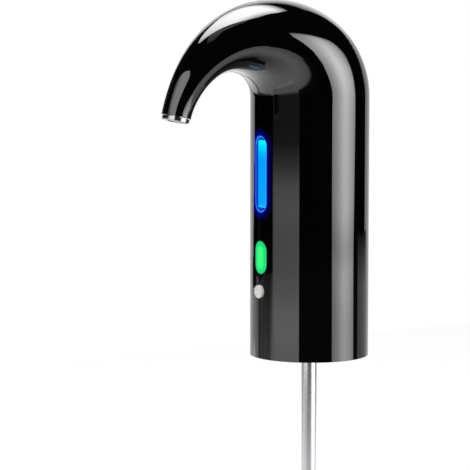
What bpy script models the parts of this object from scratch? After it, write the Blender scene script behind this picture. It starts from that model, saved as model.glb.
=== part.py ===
"""Electric wine aerator: a gloss black gooseneck body that sits on a bottle neck.

Metres, +Z up. The origin is on the body's axis at its lower rim. The spout, the lit
window and the two buttons face -Y, and the two half shells meet on the plane X = 0.
"""
import math

import bmesh
import bpy
from mathutils import Matrix, Vector
from mathutils.geometry import interpolate_bezier

# Clearances and cuts
FIT_GAP = 0.0003
CUT_OVERRUN = 0.003
WELD_REACH = 0.00001

# Outer form from the side: rises are above the bend's start, overhangs ahead of what comes before
BODY_RADIUS = 0.030
SHELL_WALL = 0.0022
BEND_ABOVE_WINDOW = 0.01875
TOP_RISE = 0.0484
TOP_SETBACK = 0.0262
TOP_EASE = 0.0355
ARCH_RISE = 0.0127
ARCH_OVERHANG = 0.0180
ARCH_EASE = 0.0144
TIP_DROP = 0.0211
TIP_OVERHANG = 0.0304
TIP_RADIUS = 0.0073
TIP_OUTER_EASE = 0.0267
TIP_INNER_EASE = 0.0088
TIP_LEAN = math.radians(13)

# Seam of the half shells: a tongue of the left shell runs behind the right one
SEAM_GAP = 0.0003
TONGUE_THICKNESS = 0.0009
TONGUE_REACH = 0.0012

# Lit window in the front, its middle above the pour button's
WINDOW_RISE = 0.0416
WINDOW_LENGTH = 0.0385
WINDOW_WIDTH = 0.0109
LENS_GAP = 0.00025
LENS_RIM = 0.0005
LENS_FACE = 0.0010
LENS_FLANGE = 0.0012
LENS_FLANGE_DEPTH = 0.0014
GUIDE_SIDE_ROOM = 0.00215
GUIDE_END_ROOM = 0.00255
GUIDE_ROUND = 0.0004
GUIDE_FOOT_WIDTH = 0.0036
GUIDE_FOOT_DROP = 0.0012
GUIDE_FOOT_DEPTH = 0.0030

# Pour button above the power button, which is above the base cup
POUR_RISE = 0.0171
POUR_LENGTH = 0.0167
POUR_WIDTH = 0.0103
POWER_RISE = 0.0098
POWER_RADIUS = 0.00338
POWER_PROUD = 0.0012
POWER_CROWN = 0.0005
BUTTON_GAP = 0.0003
BUTTON_FLANGE = 0.0011
BUTTON_FLANGE_DEPTH = 0.0012
BUTTON_STEM_RADIUS = 0.0020
BUTTON_TRAVEL = 0.0005

# Bottle socket in the base
SOCKET_DEPTH = 0.0215
SOCKET_LEAD = 0.0010
BASE_TROUGH = 0.0070
BASE_RECESS = 0.0005
BASE_WALL = 0.0020
BASE_CEILING = 0.0025
SEAL_WIRE_RADIUS = 0.00065
SEAL_SEAT_DEPTH = 0.0016

# Stopper that seals the bottle
STOPPER_WALL = 0.0019
STOPPER_TIP_WALL = 0.0013
STOPPER_NECK = 0.0020
STOPPER_RIB = 0.0007
STOPPER_RIBS = 3
STOPPER_FLANGE_GAP = 0.0015
STOPPER_FLANGE = 0.0020
STOPPER_TIP_LENGTH = 0.0036

# Connector of the wine and air paths
CONNECTOR_WALL = 0.0025
CONNECTOR_LEDGE = 0.0028
CONNECTOR_FLANGE = 0.0020
CONNECTOR_BOTTOM = 0.0030
CONNECTOR_NECK_WALL = 0.0012
CONNECTOR_NECK = 0.0020
BARB_RADIUS = 0.0020
BARB_LENGTH = 0.0060
BARB_WALL = 0.0007
TUBE_SOCKET_DEPTH = 0.0140
AIR_NIPPLE_RADIUS = 0.0013
AIR_NIPPLE_WALL = 0.0006
AIR_NIPPLE_SHORT = 0.0004

# Telescopic suction tube
TUBE_LENGTH = 0.0920
TUBE_RADIUS = 0.0040
TUBE_WALL = 0.0005
TUBE_STEP = 0.0030
TUBE_FOOT_RADIUS = 0.0031
TUBE_FOOT_LENGTH = 0.0015

# Hoses
HOSE_WALL = 0.0012
AIR_HOSE_WALL = 0.0006
AIR_HOSE_BEND = 0.0040

# Inner frame
SKIRT_WALL = 0.0020
SKIRT_HEIGHT = 0.0092
DECK_THICKNESS = 0.0025
PLATE_THICKNESS = 0.0020
PLATE_SIDE_ROOM = 0.0055
PLATE_CLEARANCE = 0.0009
YOKE_ABOVE_WINDOW = 0.00225
YOKE_THICKNESS = 0.0020
SADDLE_THICKNESS = 0.0030
SADDLE_DEPTH = 0.0055
SADDLE_MARGIN = 0.0020
TAB_THICKNESS = 0.0020
TAB_WIDTH = 0.0120
TAB_DEPTH = 0.0100

# Rechargeable cell
CELL_WALL_ROOM = 0.0035
CELL_HOSE_ROOM = 0.0024
CELL_LENGTH = 0.0650
CELL_POLE_RADIUS = 0.0030
CELL_POLE = 0.0010
CELL_ANGLE = math.radians(154.5)

# Air pump and its motor
PUMP_WALL_ROOM = 0.0018
PUMP_HOSE_ROOM = 0.0005
PUMP_ANGLE = math.radians(30)
PUMP_HEAD_LENGTH = 0.0200
PUMP_FLOOR = 0.0060
PUMP_WALL = 0.0020
DIAPHRAGM_THICKNESS = 0.0012
DIAPHRAGM_POST_RADIUS = 0.0020
DIAPHRAGM_POST = 0.0036
CRANK_RADIUS = 0.0045
CRANK_THICKNESS = 0.0030
CRANK_OFFSET = 0.0012
SHAFT_RADIUS = 0.0010
SHAFT_IN_MOTOR = 0.0050
MOTOR_STEP = 0.0002
MOTOR_LENGTH = 0.0310
MOTOR_BOSS_RADIUS = 0.0030
MOTOR_BOSS = 0.0015
MOTOR_ROUND = 0.0010

# Circuit board and what it carries
BOARD_DEPTH = 0.0072
BOARD_THICKNESS = 0.0016
BOARD_WIDTH = 0.0200
BOARD_END_MARGIN = 0.0010
BOARD_NOTCH_MARGIN = 0.0010
SWITCH_SIZE = 0.0060
SWITCH_THICKNESS = 0.0030
PLUNGER_RADIUS = 0.0017
PLUNGER_PROUD = 0.0008
PLUNGER_HIDDEN = 0.0015
LED_WIDTH = 0.0035
LED_HEIGHT = 0.0028
LED_THICKNESS = 0.0012
BUTTON_LED_HEIGHT = 0.0016
BUTTON_LED_GAP = 0.0020

# Charging socket at the back, its middle above the deck
CHARGE_RISE = 0.0100
CHARGE_WIDTH = 0.0089
CHARGE_THICKNESS = 0.0032
CHARGE_DEPTH = 0.0063
CHARGE_METAL = 0.00035
CHARGE_FLOOR = 0.0008
CHARGE_INSET = 0.0010
CHARGE_OPENING_MARGIN = 0.00035
TONGUE_PLATE_SIDE_ROOM = 0.00125
TONGUE_PLATE_THICKNESS = 0.0007
TONGUE_PLATE_SHORT = 0.0006
CHARGE_BOARD_WIDTH = 0.0120
CHARGE_BOARD_HEIGHT = 0.0160
CHARGE_BOARD_THICKNESS = 0.0012
BRACKET_WIDTH = 0.0100
BRACKET_THICKNESS = 0.0017
BRACKET_HEIGHT = 0.0140

# Spout end
RING_STEP = 0.0004
RING_LENGTH = 0.0022
RING_EDGE = 0.0004
RING_SPIGOT_LENGTH = 0.0056
RING_SPIGOT_GAP = 0.0005
RING_WALL = 0.0006
NOZZLE_THICKNESS = 0.0022
NOZZLE_RIM = 0.0012

# Screws
BASE_SCREW_HEAD_RADIUS = 0.0025
BASE_SCREW_HEAD = 0.0018
BASE_SCREW_RADIUS = 0.0011
BASE_SCREW_LENGTH = 0.0120
BASE_SCREW_GRIP = 0.0060
BASE_POST_RADIUS = 0.0037
BASE_SCREWS = 3
BOARD_SCREW_HEAD_RADIUS = 0.0018
BOARD_SCREW_HEAD = 0.0013
BOARD_SCREW_RADIUS = 0.0009
BOARD_SCREW_LENGTH = 0.0060
BOARD_SCREW_INSET = 0.0028
BOARD_SCREW_DROP = 0.0040
BOARD_POST_RADIUS = 0.0023

# Shares of the sizes that they follow
CROWN_SHARE = 0.6
CROWN_DROP_SHARE = 0.35
WINDOW_LED_SHARE = 0.38
RIB_CREST_SHARE = 0.2
RIB_UNDER_SHARE = 0.9
SADDLE_LOW_SHARE = 0.2
SADDLE_HIGH_SHARE = 0.78
SADDLE_MOTOR_SHARE = 0.45
HEAD_FLAT_SHARE = 0.7
HEAD_EDGE_SHARE = 0.5

# Counts of sides and steps
SHELL_SIDES = 40
ROUND_SIDES = 20
SMALL_SIDES = 12
BEND_STEPS = 7
FALL_STEPS = 8
END_STEPS = 8

# Heights worked out from the base up
CUP_TOP = SOCKET_DEPTH + BASE_CEILING
FRAME_BOTTOM = CUP_TOP + FIT_GAP
DECK_BOTTOM = FRAME_BOTTOM + SKIRT_HEIGHT
DECK_TOP = DECK_BOTTOM + DECK_THICKNESS
SEAT = DECK_TOP + FIT_GAP
POWER_HEIGHT = CUP_TOP + POWER_RISE
POUR_HEIGHT = POWER_HEIGHT + POUR_RISE
WINDOW_HEIGHT = POUR_HEIGHT + WINDOW_RISE
WINDOW_TOP = WINDOW_HEIGHT + WINDOW_LENGTH / 2
WINDOW_BOTTOM = WINDOW_HEIGHT - WINDOW_LENGTH / 2
CHARGE_HEIGHT = DECK_TOP + CHARGE_RISE
BEND_START = WINDOW_TOP + BEND_ABOVE_WINDOW
TOP_HEIGHT = BEND_START + TOP_RISE
ARCH_HEIGHT = BEND_START + ARCH_RISE
TIP_HEIGHT = ARCH_HEIGHT - TIP_DROP
STOPPER_TOP = SOCKET_DEPTH - FIT_GAP
STOPPER_SEAT = STOPPER_TOP - STOPPER_FLANGE
CONNECTOR_FLANGE_TOP = CUP_TOP + FIT_GAP + CONNECTOR_FLANGE
CONNECTOR_BODY_TOP = DECK_BOTTOM - FIT_GAP
CONNECTOR_SHOULDER = DECK_TOP + CONNECTOR_NECK
TUBE_SOCKET_TOP = CONNECTOR_BOTTOM + TUBE_SOCKET_DEPTH
AIR_HEIGHT = (CONNECTOR_FLANGE_TOP + CONNECTOR_BODY_TOP) / 2
MOTOR_BOTTOM = SEAT + PUMP_HEAD_LENGTH + FIT_GAP
MOTOR_TOP = MOTOR_BOTTOM + MOTOR_LENGTH
YOKE_HEIGHT = WINDOW_TOP + YOKE_ABOVE_WINDOW
BOARD_SCREW_HIGH = YOKE_HEIGHT - BOARD_SCREW_DROP
BOARD_SCREW_LOW = (WINDOW_BOTTOM + POUR_HEIGHT + POUR_LENGTH / 2) / 2

# Radii and reaches worked out from those above
INNER_RADIUS = BODY_RADIUS - SHELL_WALL
FITTED_RADIUS = INNER_RADIUS - FIT_GAP
ARCH_REACH = BODY_RADIUS + ARCH_OVERHANG
TOP_REACH = ARCH_REACH - TOP_SETBACK
TIP_REACH = ARCH_REACH + TIP_OVERHANG
RING_RADIUS = TIP_RADIUS - RING_STEP
SOCKET_RADIUS = FITTED_RADIUS - BASE_TROUGH - 2 * BASE_WALL
BASE_SCREW_CIRCLE = (SOCKET_RADIUS + FITTED_RADIUS) / 2
CONNECTOR_RADIUS = TUBE_RADIUS + FIT_GAP + CONNECTOR_WALL
CONNECTOR_FLANGE_RADIUS = CONNECTOR_RADIUS + CONNECTOR_LEDGE
CONNECTOR_NECK_RADIUS = BARB_RADIUS + CONNECTOR_NECK_WALL
WINE_BORE_RADIUS = BARB_RADIUS - BARB_WALL
STOPPER_BORE_RADIUS = CONNECTOR_RADIUS + FIT_GAP
STOPPER_RADIUS = STOPPER_BORE_RADIUS + STOPPER_WALL
STOPPER_TIP_RADIUS = STOPPER_BORE_RADIUS + STOPPER_TIP_WALL
STOPPER_FLANGE_RADIUS = SOCKET_RADIUS - STOPPER_FLANGE_GAP
HOSE_BORE_RADIUS = BARB_RADIUS + FIT_GAP
HOSE_RADIUS = HOSE_BORE_RADIUS + HOSE_WALL
AIR_BORE_RADIUS = AIR_NIPPLE_RADIUS - AIR_NIPPLE_WALL
AIR_HOSE_BORE_RADIUS = AIR_NIPPLE_RADIUS + FIT_GAP
AIR_HOSE_RADIUS = AIR_HOSE_BORE_RADIUS + AIR_HOSE_WALL
CELL_RADIUS = (INNER_RADIUS - HOSE_RADIUS - CELL_WALL_ROOM - CELL_HOSE_ROOM) / 2
CELL_REACH = HOSE_RADIUS + CELL_HOSE_ROOM + CELL_RADIUS
PUMP_RADIUS = (INNER_RADIUS - HOSE_RADIUS - PUMP_WALL_ROOM - PUMP_HOSE_ROOM) / 2
PUMP_REACH = HOSE_RADIUS + PUMP_HOSE_ROOM + PUMP_RADIUS
MOTOR_RADIUS = PUMP_RADIUS - MOTOR_STEP
PUMP_NIPPLE_LENGTH = SEAT - AIR_HEIGHT - AIR_HOSE_BEND
AIR_NIPPLE_END = PUMP_REACH - AIR_HOSE_BEND - AIR_NIPPLE_SHORT
GUIDE_WIDTH = WINDOW_WIDTH - 2 * GUIDE_SIDE_ROOM
GUIDE_LENGTH = WINDOW_LENGTH - 2 * GUIDE_END_ROOM
WINDOW_LED_PITCH = GUIDE_LENGTH * WINDOW_LED_SHARE
BUTTON_LED_OFFSET = (SWITCH_SIZE + BUTTON_LED_HEIGHT) / 2 + BUTTON_LED_GAP
TONGUE_PLATE_WIDTH = CHARGE_WIDTH - 2 * TONGUE_PLATE_SIDE_ROOM
PLATE_WIDTH = 2 * (FITTED_RADIUS - PLATE_SIDE_ROOM)
BOARD_SCREW_SPAN = BOARD_WIDTH - 2 * BOARD_SCREW_INSET

# Depths behind the front, and places
BOARD_FACE = -(INNER_RADIUS - BOARD_DEPTH)
BOARD_BACK = BOARD_FACE + BOARD_THICKNESS
PLATE_BACK = -(HOSE_RADIUS + PLATE_CLEARANCE)
PLATE_FRONT = PLATE_BACK - PLATE_THICKNESS
SWITCH_FACE = BOARD_FACE - FIT_GAP - SWITCH_THICKNESS
PLUNGER_FACE = SWITCH_FACE - PLUNGER_PROUD
STEM_END = PLUNGER_FACE - FIT_GAP
CELL_PLACE = Matrix.Rotation(CELL_ANGLE, 3, "Z") @ Vector((CELL_REACH, 0, 0))
PUMP_PLACE = Matrix.Rotation(PUMP_ANGLE, 3, "Z") @ Vector((PUMP_REACH, 0, 0))
UP = Vector((0, 0, 1))
TIP = Vector((0, -TIP_REACH, TIP_HEIGHT))
FLOW = Vector((0, -math.sin(TIP_LEAN), -math.cos(TIP_LEAN)))
TIP_SIDE = Vector((0, -math.cos(TIP_LEAN), math.sin(TIP_LEAN)))
FACING_FRONT = Matrix.Rotation(math.radians(90), 4, "X")

BLACK_GLOSS = (0.012, 0.012, 0.013)
BLACK_PLASTIC = (0.03, 0.03, 0.032)
GREY_PLASTIC = (0.35, 0.36, 0.37)
WHITE_PLASTIC = (0.75, 0.75, 0.72)
CHROME = (0.80, 0.80, 0.82)
STEEL = (0.62, 0.62, 0.63)
SILICONE = (0.62, 0.60, 0.56)
WINDOW_BLUE = (0.02, 0.30, 1.0)
BUTTON_GREEN = (0.03, 0.95, 0.25)
BOARD_GREEN = (0.02, 0.16, 0.06)
CELL_BLUE = (0.03, 0.12, 0.40)
BRASS = (0.72, 0.55, 0.22)


# Helpers that make, place and cut solids
def clear_scene():
    for thing in list(bpy.data.objects):
        bpy.data.objects.remove(thing, do_unlink=True)


def new_group(name):
    group = bpy.data.collections.new(name)
    bpy.context.scene.collection.children.link(group)
    return group


def add_object(name, mesh, group, place=Matrix.Identity(4)):
    thing = bpy.data.objects.new(name, mesh)
    thing.matrix_world = place
    group.objects.link(thing)
    if group == CUTTERS:
        thing.hide_render = True
        thing.display_type = "WIRE"
    return thing


def paint(thing, colour, roughness, metallic=0.0):
    material = bpy.data.materials.new(thing.name)
    material.use_nodes = True
    surface = material.node_tree.nodes["Principled BSDF"]
    surface.inputs["Base Color"].default_value = (*colour, 1.0)
    surface.inputs["Roughness"].default_value = roughness
    surface.inputs["Metallic"].default_value = metallic
    thing.data.materials.append(material)
    return thing


def smooth(mesh):
    mesh.shade_smooth()
    mesh.set_sharp_from_angle(angle=math.radians(35))


def box(name, low, high, group):
    """A box between two corners, with its origin at its centre."""
    low, high = Vector(low), Vector(high)
    mesh = bpy.data.meshes.new(name)
    shape = bmesh.new()
    bmesh.ops.create_cube(shape, size=1, matrix=Matrix.Diagonal((*(high - low), 1)))
    shape.to_mesh(mesh)
    shape.free()
    return add_object(name, mesh, group, Matrix.Translation((low + high) / 2))


def rod(name, radius, start, end, group, sides=SMALL_SIDES):
    """A round bar from one point to another, with its origin at its start."""
    start, end = Vector(start), Vector(end)
    length = (end - start).length
    mesh = bpy.data.meshes.new(name)
    shape = bmesh.new()
    lift = Matrix.Translation((0, 0, length / 2))
    bmesh.ops.create_cone(shape, cap_ends=True, segments=sides, radius1=radius, radius2=radius,
                          depth=length, matrix=lift)
    shape.to_mesh(mesh)
    shape.free()
    smooth(mesh)
    turn = (end - start).to_track_quat("Z", "Y").to_matrix().to_4x4()
    return add_object(name, mesh, group, Matrix.Translation(start) @ turn)


def turned(name, profile, group, closed=False, sides=ROUND_SIDES, place=Matrix.Identity(4)):
    """A profile of (radius, height) points, listed down its outer side, turned about Z."""
    count = len(profile)
    edges = [(index, index + 1) for index in range(count - 1)]
    if closed:
        edges.append((count - 1, 0))
    mesh = bpy.data.meshes.new(name)
    mesh.from_pydata([(radius, 0, height) for radius, height in profile], edges, [])
    thing = add_object(name, mesh, group, place)
    turn = thing.modifiers.new("Turn", "SCREW")
    turn.angle = math.tau
    turn.steps = sides
    turn.render_steps = sides
    turn.use_merge_vertices = True
    turn.merge_threshold = WELD_REACH
    turn.use_smooth_shade = True
    return thing


def as_mesh(curve_object, group):
    """A mesh object in place of a curve object, with its caps welded on."""
    scene_state = bpy.context.evaluated_depsgraph_get()
    mesh = bpy.data.meshes.new_from_object(curve_object.evaluated_get(scene_state))
    shape = bmesh.new()
    shape.from_mesh(mesh)
    bmesh.ops.remove_doubles(shape, verts=shape.verts, dist=WELD_REACH)
    bmesh.ops.recalc_face_normals(shape, faces=shape.faces)
    shape.to_mesh(mesh)
    shape.free()
    smooth(mesh)
    name = curve_object.name
    place = curve_object.matrix_world.copy()
    bpy.data.objects.remove(curve_object, do_unlink=True)
    return add_object(name, mesh, group, place)


def curve_object(name, points, dimensions, group, closed=False):
    curve = bpy.data.curves.new(name, "CURVE")
    curve.dimensions = dimensions
    line = curve.splines.new("POLY")
    line.points.add(len(points) - 1)
    for knot, point in zip(line.points, points):
        knot.co = (*point, 1)
    line.use_cyclic_u = closed
    thing = bpy.data.objects.new(name, curve)
    group.objects.link(thing)
    return thing


def pipe(name, points, radius, group, resolution):
    """A round bar that follows points."""
    thing = curve_object(name, points, "3D", group)
    thing.data.bevel_depth = radius
    thing.data.bevel_resolution = resolution
    thing.data.use_fill_caps = True
    bpy.context.view_layer.update()
    return as_mesh(thing, group)


def slot_points(length, width):
    """A slot outline that runs along its second axis, with round ends."""
    radius = width / 2
    shift = (length - width) / 2
    points = []
    for end in (1, -1):
        for step in range(END_STEPS + 1):
            angle = math.pi * step / END_STEPS
            points.append((end * radius * math.cos(angle), end * (shift + radius * math.sin(angle)), 0))
    return points


def slot(name, length, width, front, back, height, group, lying=False):
    """A slot-shaped bar along Y at a height, from its front face to its back face."""
    points = slot_points(length, width)
    if lying:
        points = [(along, across, level) for across, along, level in reversed(points)]
    thing = curve_object(name, points, "2D", group, closed=True)
    thing.data.fill_mode = "BOTH"
    thing.data.extrude = (back - front) / 2
    thing.matrix_world = Matrix.Translation((0, (front + back) / 2, height)) @ FACING_FRONT
    bpy.context.view_layer.update()
    return as_mesh(thing, group)


def combine(target, tool, operation):
    """A live Boolean of the target with a tool object."""
    step = target.modifiers.new(tool.name, "BOOLEAN")
    step.operation = operation
    step.solver = "EXACT"
    step.object = tool


def cut(target, *tools):
    for tool in tools:
        combine(target, tool, "DIFFERENCE")


def join(target, *tools):
    for tool in tools:
        combine(target, tool, "UNION")


def keep(target, tool):
    combine(target, tool, "INTERSECT")


# The body's form: round sections between an outer and an inner line
def bend_sections():
    """Each section's centre and the vector from it to the inner line, base to tip."""
    outer, inner = [], []
    for step in range(BEND_STEPS + 1):
        turn = math.radians(90) * step / BEND_STEPS
        back = TOP_REACH - (TOP_REACH + BODY_RADIUS) * math.cos(turn)
        front = ARCH_REACH - (ARCH_REACH - BODY_RADIUS) * math.cos(turn)
        outer.append(Vector((0, -back, BEND_START + (TOP_HEIGHT - BEND_START) * math.sin(turn))))
        inner.append(Vector((0, -front, BEND_START + (ARCH_HEIGHT - BEND_START) * math.sin(turn))))
    outer_tip = TIP + TIP_SIDE * TIP_RADIUS
    inner_tip = TIP - TIP_SIDE * TIP_RADIUS
    over = outer[-1] - Vector((0, TOP_EASE, 0))
    under = inner[-1] - Vector((0, ARCH_EASE, 0))
    fall = interpolate_bezier(outer[-1], over, outer_tip - FLOW * TIP_OUTER_EASE, outer_tip, FALL_STEPS + 1)
    outer.extend(fall[1:])
    fall = interpolate_bezier(inner[-1], under, inner_tip - FLOW * TIP_INNER_EASE, inner_tip, FALL_STEPS + 1)
    inner.extend(fall[1:])
    return [((far + near) / 2, (near - far) / 2) for far, near in zip(outer, inner)]


def body_form(name, inset, overrun, group):
    """The body's outer form drawn in by an inset, run past both ends by an overrun."""
    front = Vector((0, -BODY_RADIUS, 0))
    sections = [(-UP * overrun, front)] + bend_sections()
    if overrun:
        centre, half = sections[-1]
        sections.append((centre + FLOW * overrun, half))
    shape = bmesh.new()
    rings = []
    for centre, half in sections:
        across = half.normalized()
        along = Vector((1, 0, 0)).cross(across)
        place = Matrix((Vector((1, 0, 0)), across, along)).transposed().to_4x4()
        place.translation = centre
        ring = bmesh.ops.create_circle(shape, segments=SHELL_SIDES, radius=half.length - inset, matrix=place)
        rings.append(list({edge for corner in ring["verts"] for edge in corner.link_edges}))
    for lower, upper in zip(rings, rings[1:]):
        bmesh.ops.bridge_loops(shape, edges=lower + upper)
    for ring in (rings[0], rings[-1]):
        bmesh.ops.edgeloop_fill(shape, edges=ring)
    bmesh.ops.recalc_face_normals(shape, faces=shape.faces)
    mesh = bpy.data.meshes.new(name)
    shape.to_mesh(mesh)
    shape.free()
    smooth(mesh)
    return add_object(name, mesh, group)


def seam_side(name, face, inset, reach):
    """What lies left of the seam: the left half, and the tongue's layer up to its reach."""
    room = TOP_HEIGHT + TIP_REACH
    side = box(name, (-room, -room, -room), (face, room, room), CUTTERS)
    layer = body_form(name + "_tongue_layer", inset, CUT_OVERRUN, CUTTERS)
    limit = box(name + "_tongue_limit", (-SHELL_WALL, -room, -room), (reach, room, room), CUTTERS)
    keep(layer, limit)
    join(side, layer)
    return side


def make_shells():
    void = body_form("shell_void", SHELL_WALL, CUT_OVERRUN, CUTTERS)
    outside = -(BODY_RADIUS + CUT_OVERRUN)
    inside = -(INNER_RADIUS - CUT_OVERRUN)
    openings = [
        slot("window_opening", WINDOW_LENGTH, WINDOW_WIDTH, outside, inside, WINDOW_HEIGHT, CUTTERS),
        slot("pour_opening", POUR_LENGTH + 2 * BUTTON_GAP, POUR_WIDTH + 2 * BUTTON_GAP,
             outside, inside, POUR_HEIGHT, CUTTERS),
        rod("power_opening", POWER_RADIUS + BUTTON_GAP, (0, inside, POWER_HEIGHT),
            (0, outside, POWER_HEIGHT), CUTTERS, ROUND_SIDES),
        slot("charge_opening", CHARGE_WIDTH + 2 * CHARGE_OPENING_MARGIN,
             CHARGE_THICKNESS + 2 * CHARGE_OPENING_MARGIN, -inside, -outside, CHARGE_HEIGHT,
             CUTTERS, lying=True),
    ]
    tongue_inset = SHELL_WALL - TONGUE_THICKNESS
    left_side = seam_side("left_side", -SEAM_GAP / 2, tongue_inset, TONGUE_REACH)
    right_cut = seam_side("right_cut", SEAM_GAP / 2, tongue_inset - FIT_GAP, TONGUE_REACH + FIT_GAP)
    left = body_form("left_shell", 0, 0, PARTS)
    right = body_form("right_shell", 0, 0, PARTS)
    for shell in (left, right):
        cut(shell, void)
    keep(left, left_side)
    cut(right, right_cut)
    for shell in (left, right):
        cut(shell, *openings)
        paint(shell, BLACK_GLOSS, 0.08)


def make_spout_end():
    """The polished ring in the spout's end and the nozzle that the hose fits on."""
    place = Matrix.Translation(TIP) @ FLOW.to_track_quat("Z", "Y").to_matrix().to_4x4()
    spigot = TIP_RADIUS - SHELL_WALL - RING_SPIGOT_GAP
    bore = spigot - RING_WALL
    ring = turned("spout_ring", [
        (RING_RADIUS - RING_EDGE, RING_LENGTH + FIT_GAP),
        (RING_RADIUS, RING_LENGTH + FIT_GAP - RING_EDGE),
        (RING_RADIUS, FIT_GAP),
        (spigot, FIT_GAP),
        (spigot, -RING_SPIGOT_LENGTH),
        (bore, -RING_SPIGOT_LENGTH),
        (bore, RING_LENGTH + FIT_GAP - RING_EDGE),
        (bore + RING_EDGE, RING_LENGTH + FIT_GAP),
    ], PARTS, closed=True, place=place)
    paint(ring, CHROME, 0.08, 1.0)
    plug = bore - FIT_GAP
    nozzle = turned("outlet_nozzle", [
        (plug, NOZZLE_THICKNESS - RING_SPIGOT_LENGTH),
        (plug, -RING_SPIGOT_LENGTH),
        (BARB_RADIUS, -RING_SPIGOT_LENGTH),
        (BARB_RADIUS, -RING_SPIGOT_LENGTH - BARB_LENGTH),
        (WINE_BORE_RADIUS, -RING_SPIGOT_LENGTH - BARB_LENGTH),
        (WINE_BORE_RADIUS, -RING_SPIGOT_LENGTH),
        (plug - NOZZLE_RIM, NOZZLE_THICKNESS - RING_SPIGOT_LENGTH),
    ], PARTS, closed=True, place=place)
    paint(nozzle, GREY_PLASTIC, 0.4)


def make_wine_hose():
    """The hose from the connector up the body's axis and along the neck's middle."""
    end = TIP - FLOW * (RING_SPIGOT_LENGTH + FIT_GAP)
    straight = end - FLOW * BARB_LENGTH
    points = [UP * (CONNECTOR_SHOULDER + FIT_GAP), UP * BEND_START / 2]
    for centre, half in bend_sections():
        if (centre - TIP).length > (straight - TIP).length + BARB_LENGTH / 2:
            points.append(centre)
    points += [straight, (straight + end) / 2, end]
    hose = pipe("wine_hose", points, HOSE_RADIUS, PARTS, 4)
    bore_points = [points[0] - UP * CUT_OVERRUN] + points[1:-1] + [end + FLOW * CUT_OVERRUN]
    cut(hose, pipe("hose_bore", bore_points, HOSE_BORE_RADIUS, CUTTERS, 2))
    paint(hose, SILICONE, 0.45)


# Window, light guide and buttons
def flush_cylinder(name, radius):
    """A round limit that gives fronts the body's curve."""
    return rod(name, radius, -UP * CUT_OVERRUN, UP * BEND_START, CUTTERS, SHELL_SIDES)


def make_window(face_limit, flange_limit):
    front = -(BODY_RADIUS + CUT_OVERRUN)
    flange_back = -(FITTED_RADIUS - LENS_FLANGE_DEPTH)
    length = WINDOW_LENGTH - 2 * LENS_GAP
    width = WINDOW_WIDTH - 2 * LENS_GAP
    lens = slot("window_lens", length, width, front, flange_back - FIT_GAP, WINDOW_HEIGHT, PARTS)
    keep(lens, face_limit)
    flange = slot("lens_flange", length + 2 * LENS_FLANGE, width + 2 * LENS_FLANGE, front,
                  flange_back, WINDOW_HEIGHT, CUTTERS)
    keep(flange, flange_limit)
    join(lens, flange)
    pocket_front = -(BODY_RADIUS - LENS_FACE)
    pocket = slot("lens_pocket", length - 2 * LENS_RIM, width - 2 * LENS_RIM, pocket_front,
                  flange_back + CUT_OVERRUN, WINDOW_HEIGHT, CUTTERS)
    cut(lens, pocket)
    paint(lens, WINDOW_BLUE, 0.05)

    guide_front = pocket_front + FIT_GAP
    guide_back = BOARD_FACE - LED_THICKNESS - 2 * FIT_GAP
    low = WINDOW_HEIGHT - GUIDE_LENGTH / 2
    guide = box("light_guide", (-GUIDE_WIDTH / 2, guide_front, low),
                (GUIDE_WIDTH / 2, guide_back, low + GUIDE_LENGTH), PARTS)
    edge = guide.modifiers.new("Edge", "BEVEL")
    edge.width = GUIDE_ROUND
    edge.segments = 1
    foot = box("guide_foot", (-GUIDE_FOOT_WIDTH / 2, guide_back - GUIDE_FOOT_DEPTH, low - GUIDE_FOOT_DROP),
               (GUIDE_FOOT_WIDTH / 2, guide_back - GUIDE_ROUND, low + GUIDE_LENGTH / 2), CUTTERS)
    join(guide, foot)
    paint(guide, WINDOW_BLUE, 0.2)


def make_buttons(face_limit, flange_limit):
    """The flush pour button and the domed power button, each with a flange and a stem."""
    front = -(BODY_RADIUS + CUT_OVERRUN)
    flange_back = -(FITTED_RADIUS - BUTTON_FLANGE_DEPTH)
    pour = slot("pour_button", POUR_LENGTH, POUR_WIDTH, front, flange_back - FIT_GAP, POUR_HEIGHT, PARTS)
    keep(pour, face_limit)
    flange = slot("pour_flange", POUR_LENGTH + 2 * BUTTON_FLANGE, POUR_WIDTH + 2 * BUTTON_FLANGE,
                  front, flange_back, POUR_HEIGHT, CUTTERS)
    keep(flange, flange_limit)
    stem = rod("pour_stem", BUTTON_STEM_RADIUS, (0, flange_back - FIT_GAP, POUR_HEIGHT),
               (0, STEM_END, POUR_HEIGHT), CUTTERS)
    join(pour, flange, stem)
    paint(pour, BUTTON_GREEN, 0.25)

    rise = BODY_RADIUS + POWER_PROUD
    shoulder = rise - POWER_CROWN
    power = turned("power_button", [
        (0, rise),
        (POWER_RADIUS * CROWN_SHARE, rise - POWER_CROWN * CROWN_DROP_SHARE),
        (POWER_RADIUS, shoulder - POWER_CROWN),
        (POWER_RADIUS, -flange_back),
        (0, -flange_back),
    ], PARTS, place=Matrix.Translation(UP * POWER_HEIGHT) @ FACING_FRONT)
    flange = rod("power_flange", POWER_RADIUS + BUTTON_FLANGE, (0, front, POWER_HEIGHT),
                 (0, flange_back - FIT_GAP, POWER_HEIGHT), CUTTERS, ROUND_SIDES)
    keep(flange, flange_limit)
    stem = rod("power_stem", BUTTON_STEM_RADIUS, (0, flange_back - FIT_GAP, POWER_HEIGHT),
               (0, STEM_END, POWER_HEIGHT), CUTTERS)
    join(power, flange, stem)
    paint(power, WHITE_PLASTIC, 0.3)


# Circuit board, switches and lamps
def board_screw_places():
    half = BOARD_SCREW_SPAN / 2
    return [(side * half, height) for height in (BOARD_SCREW_LOW, BOARD_SCREW_HIGH) for side in (-1, 1)]


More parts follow.
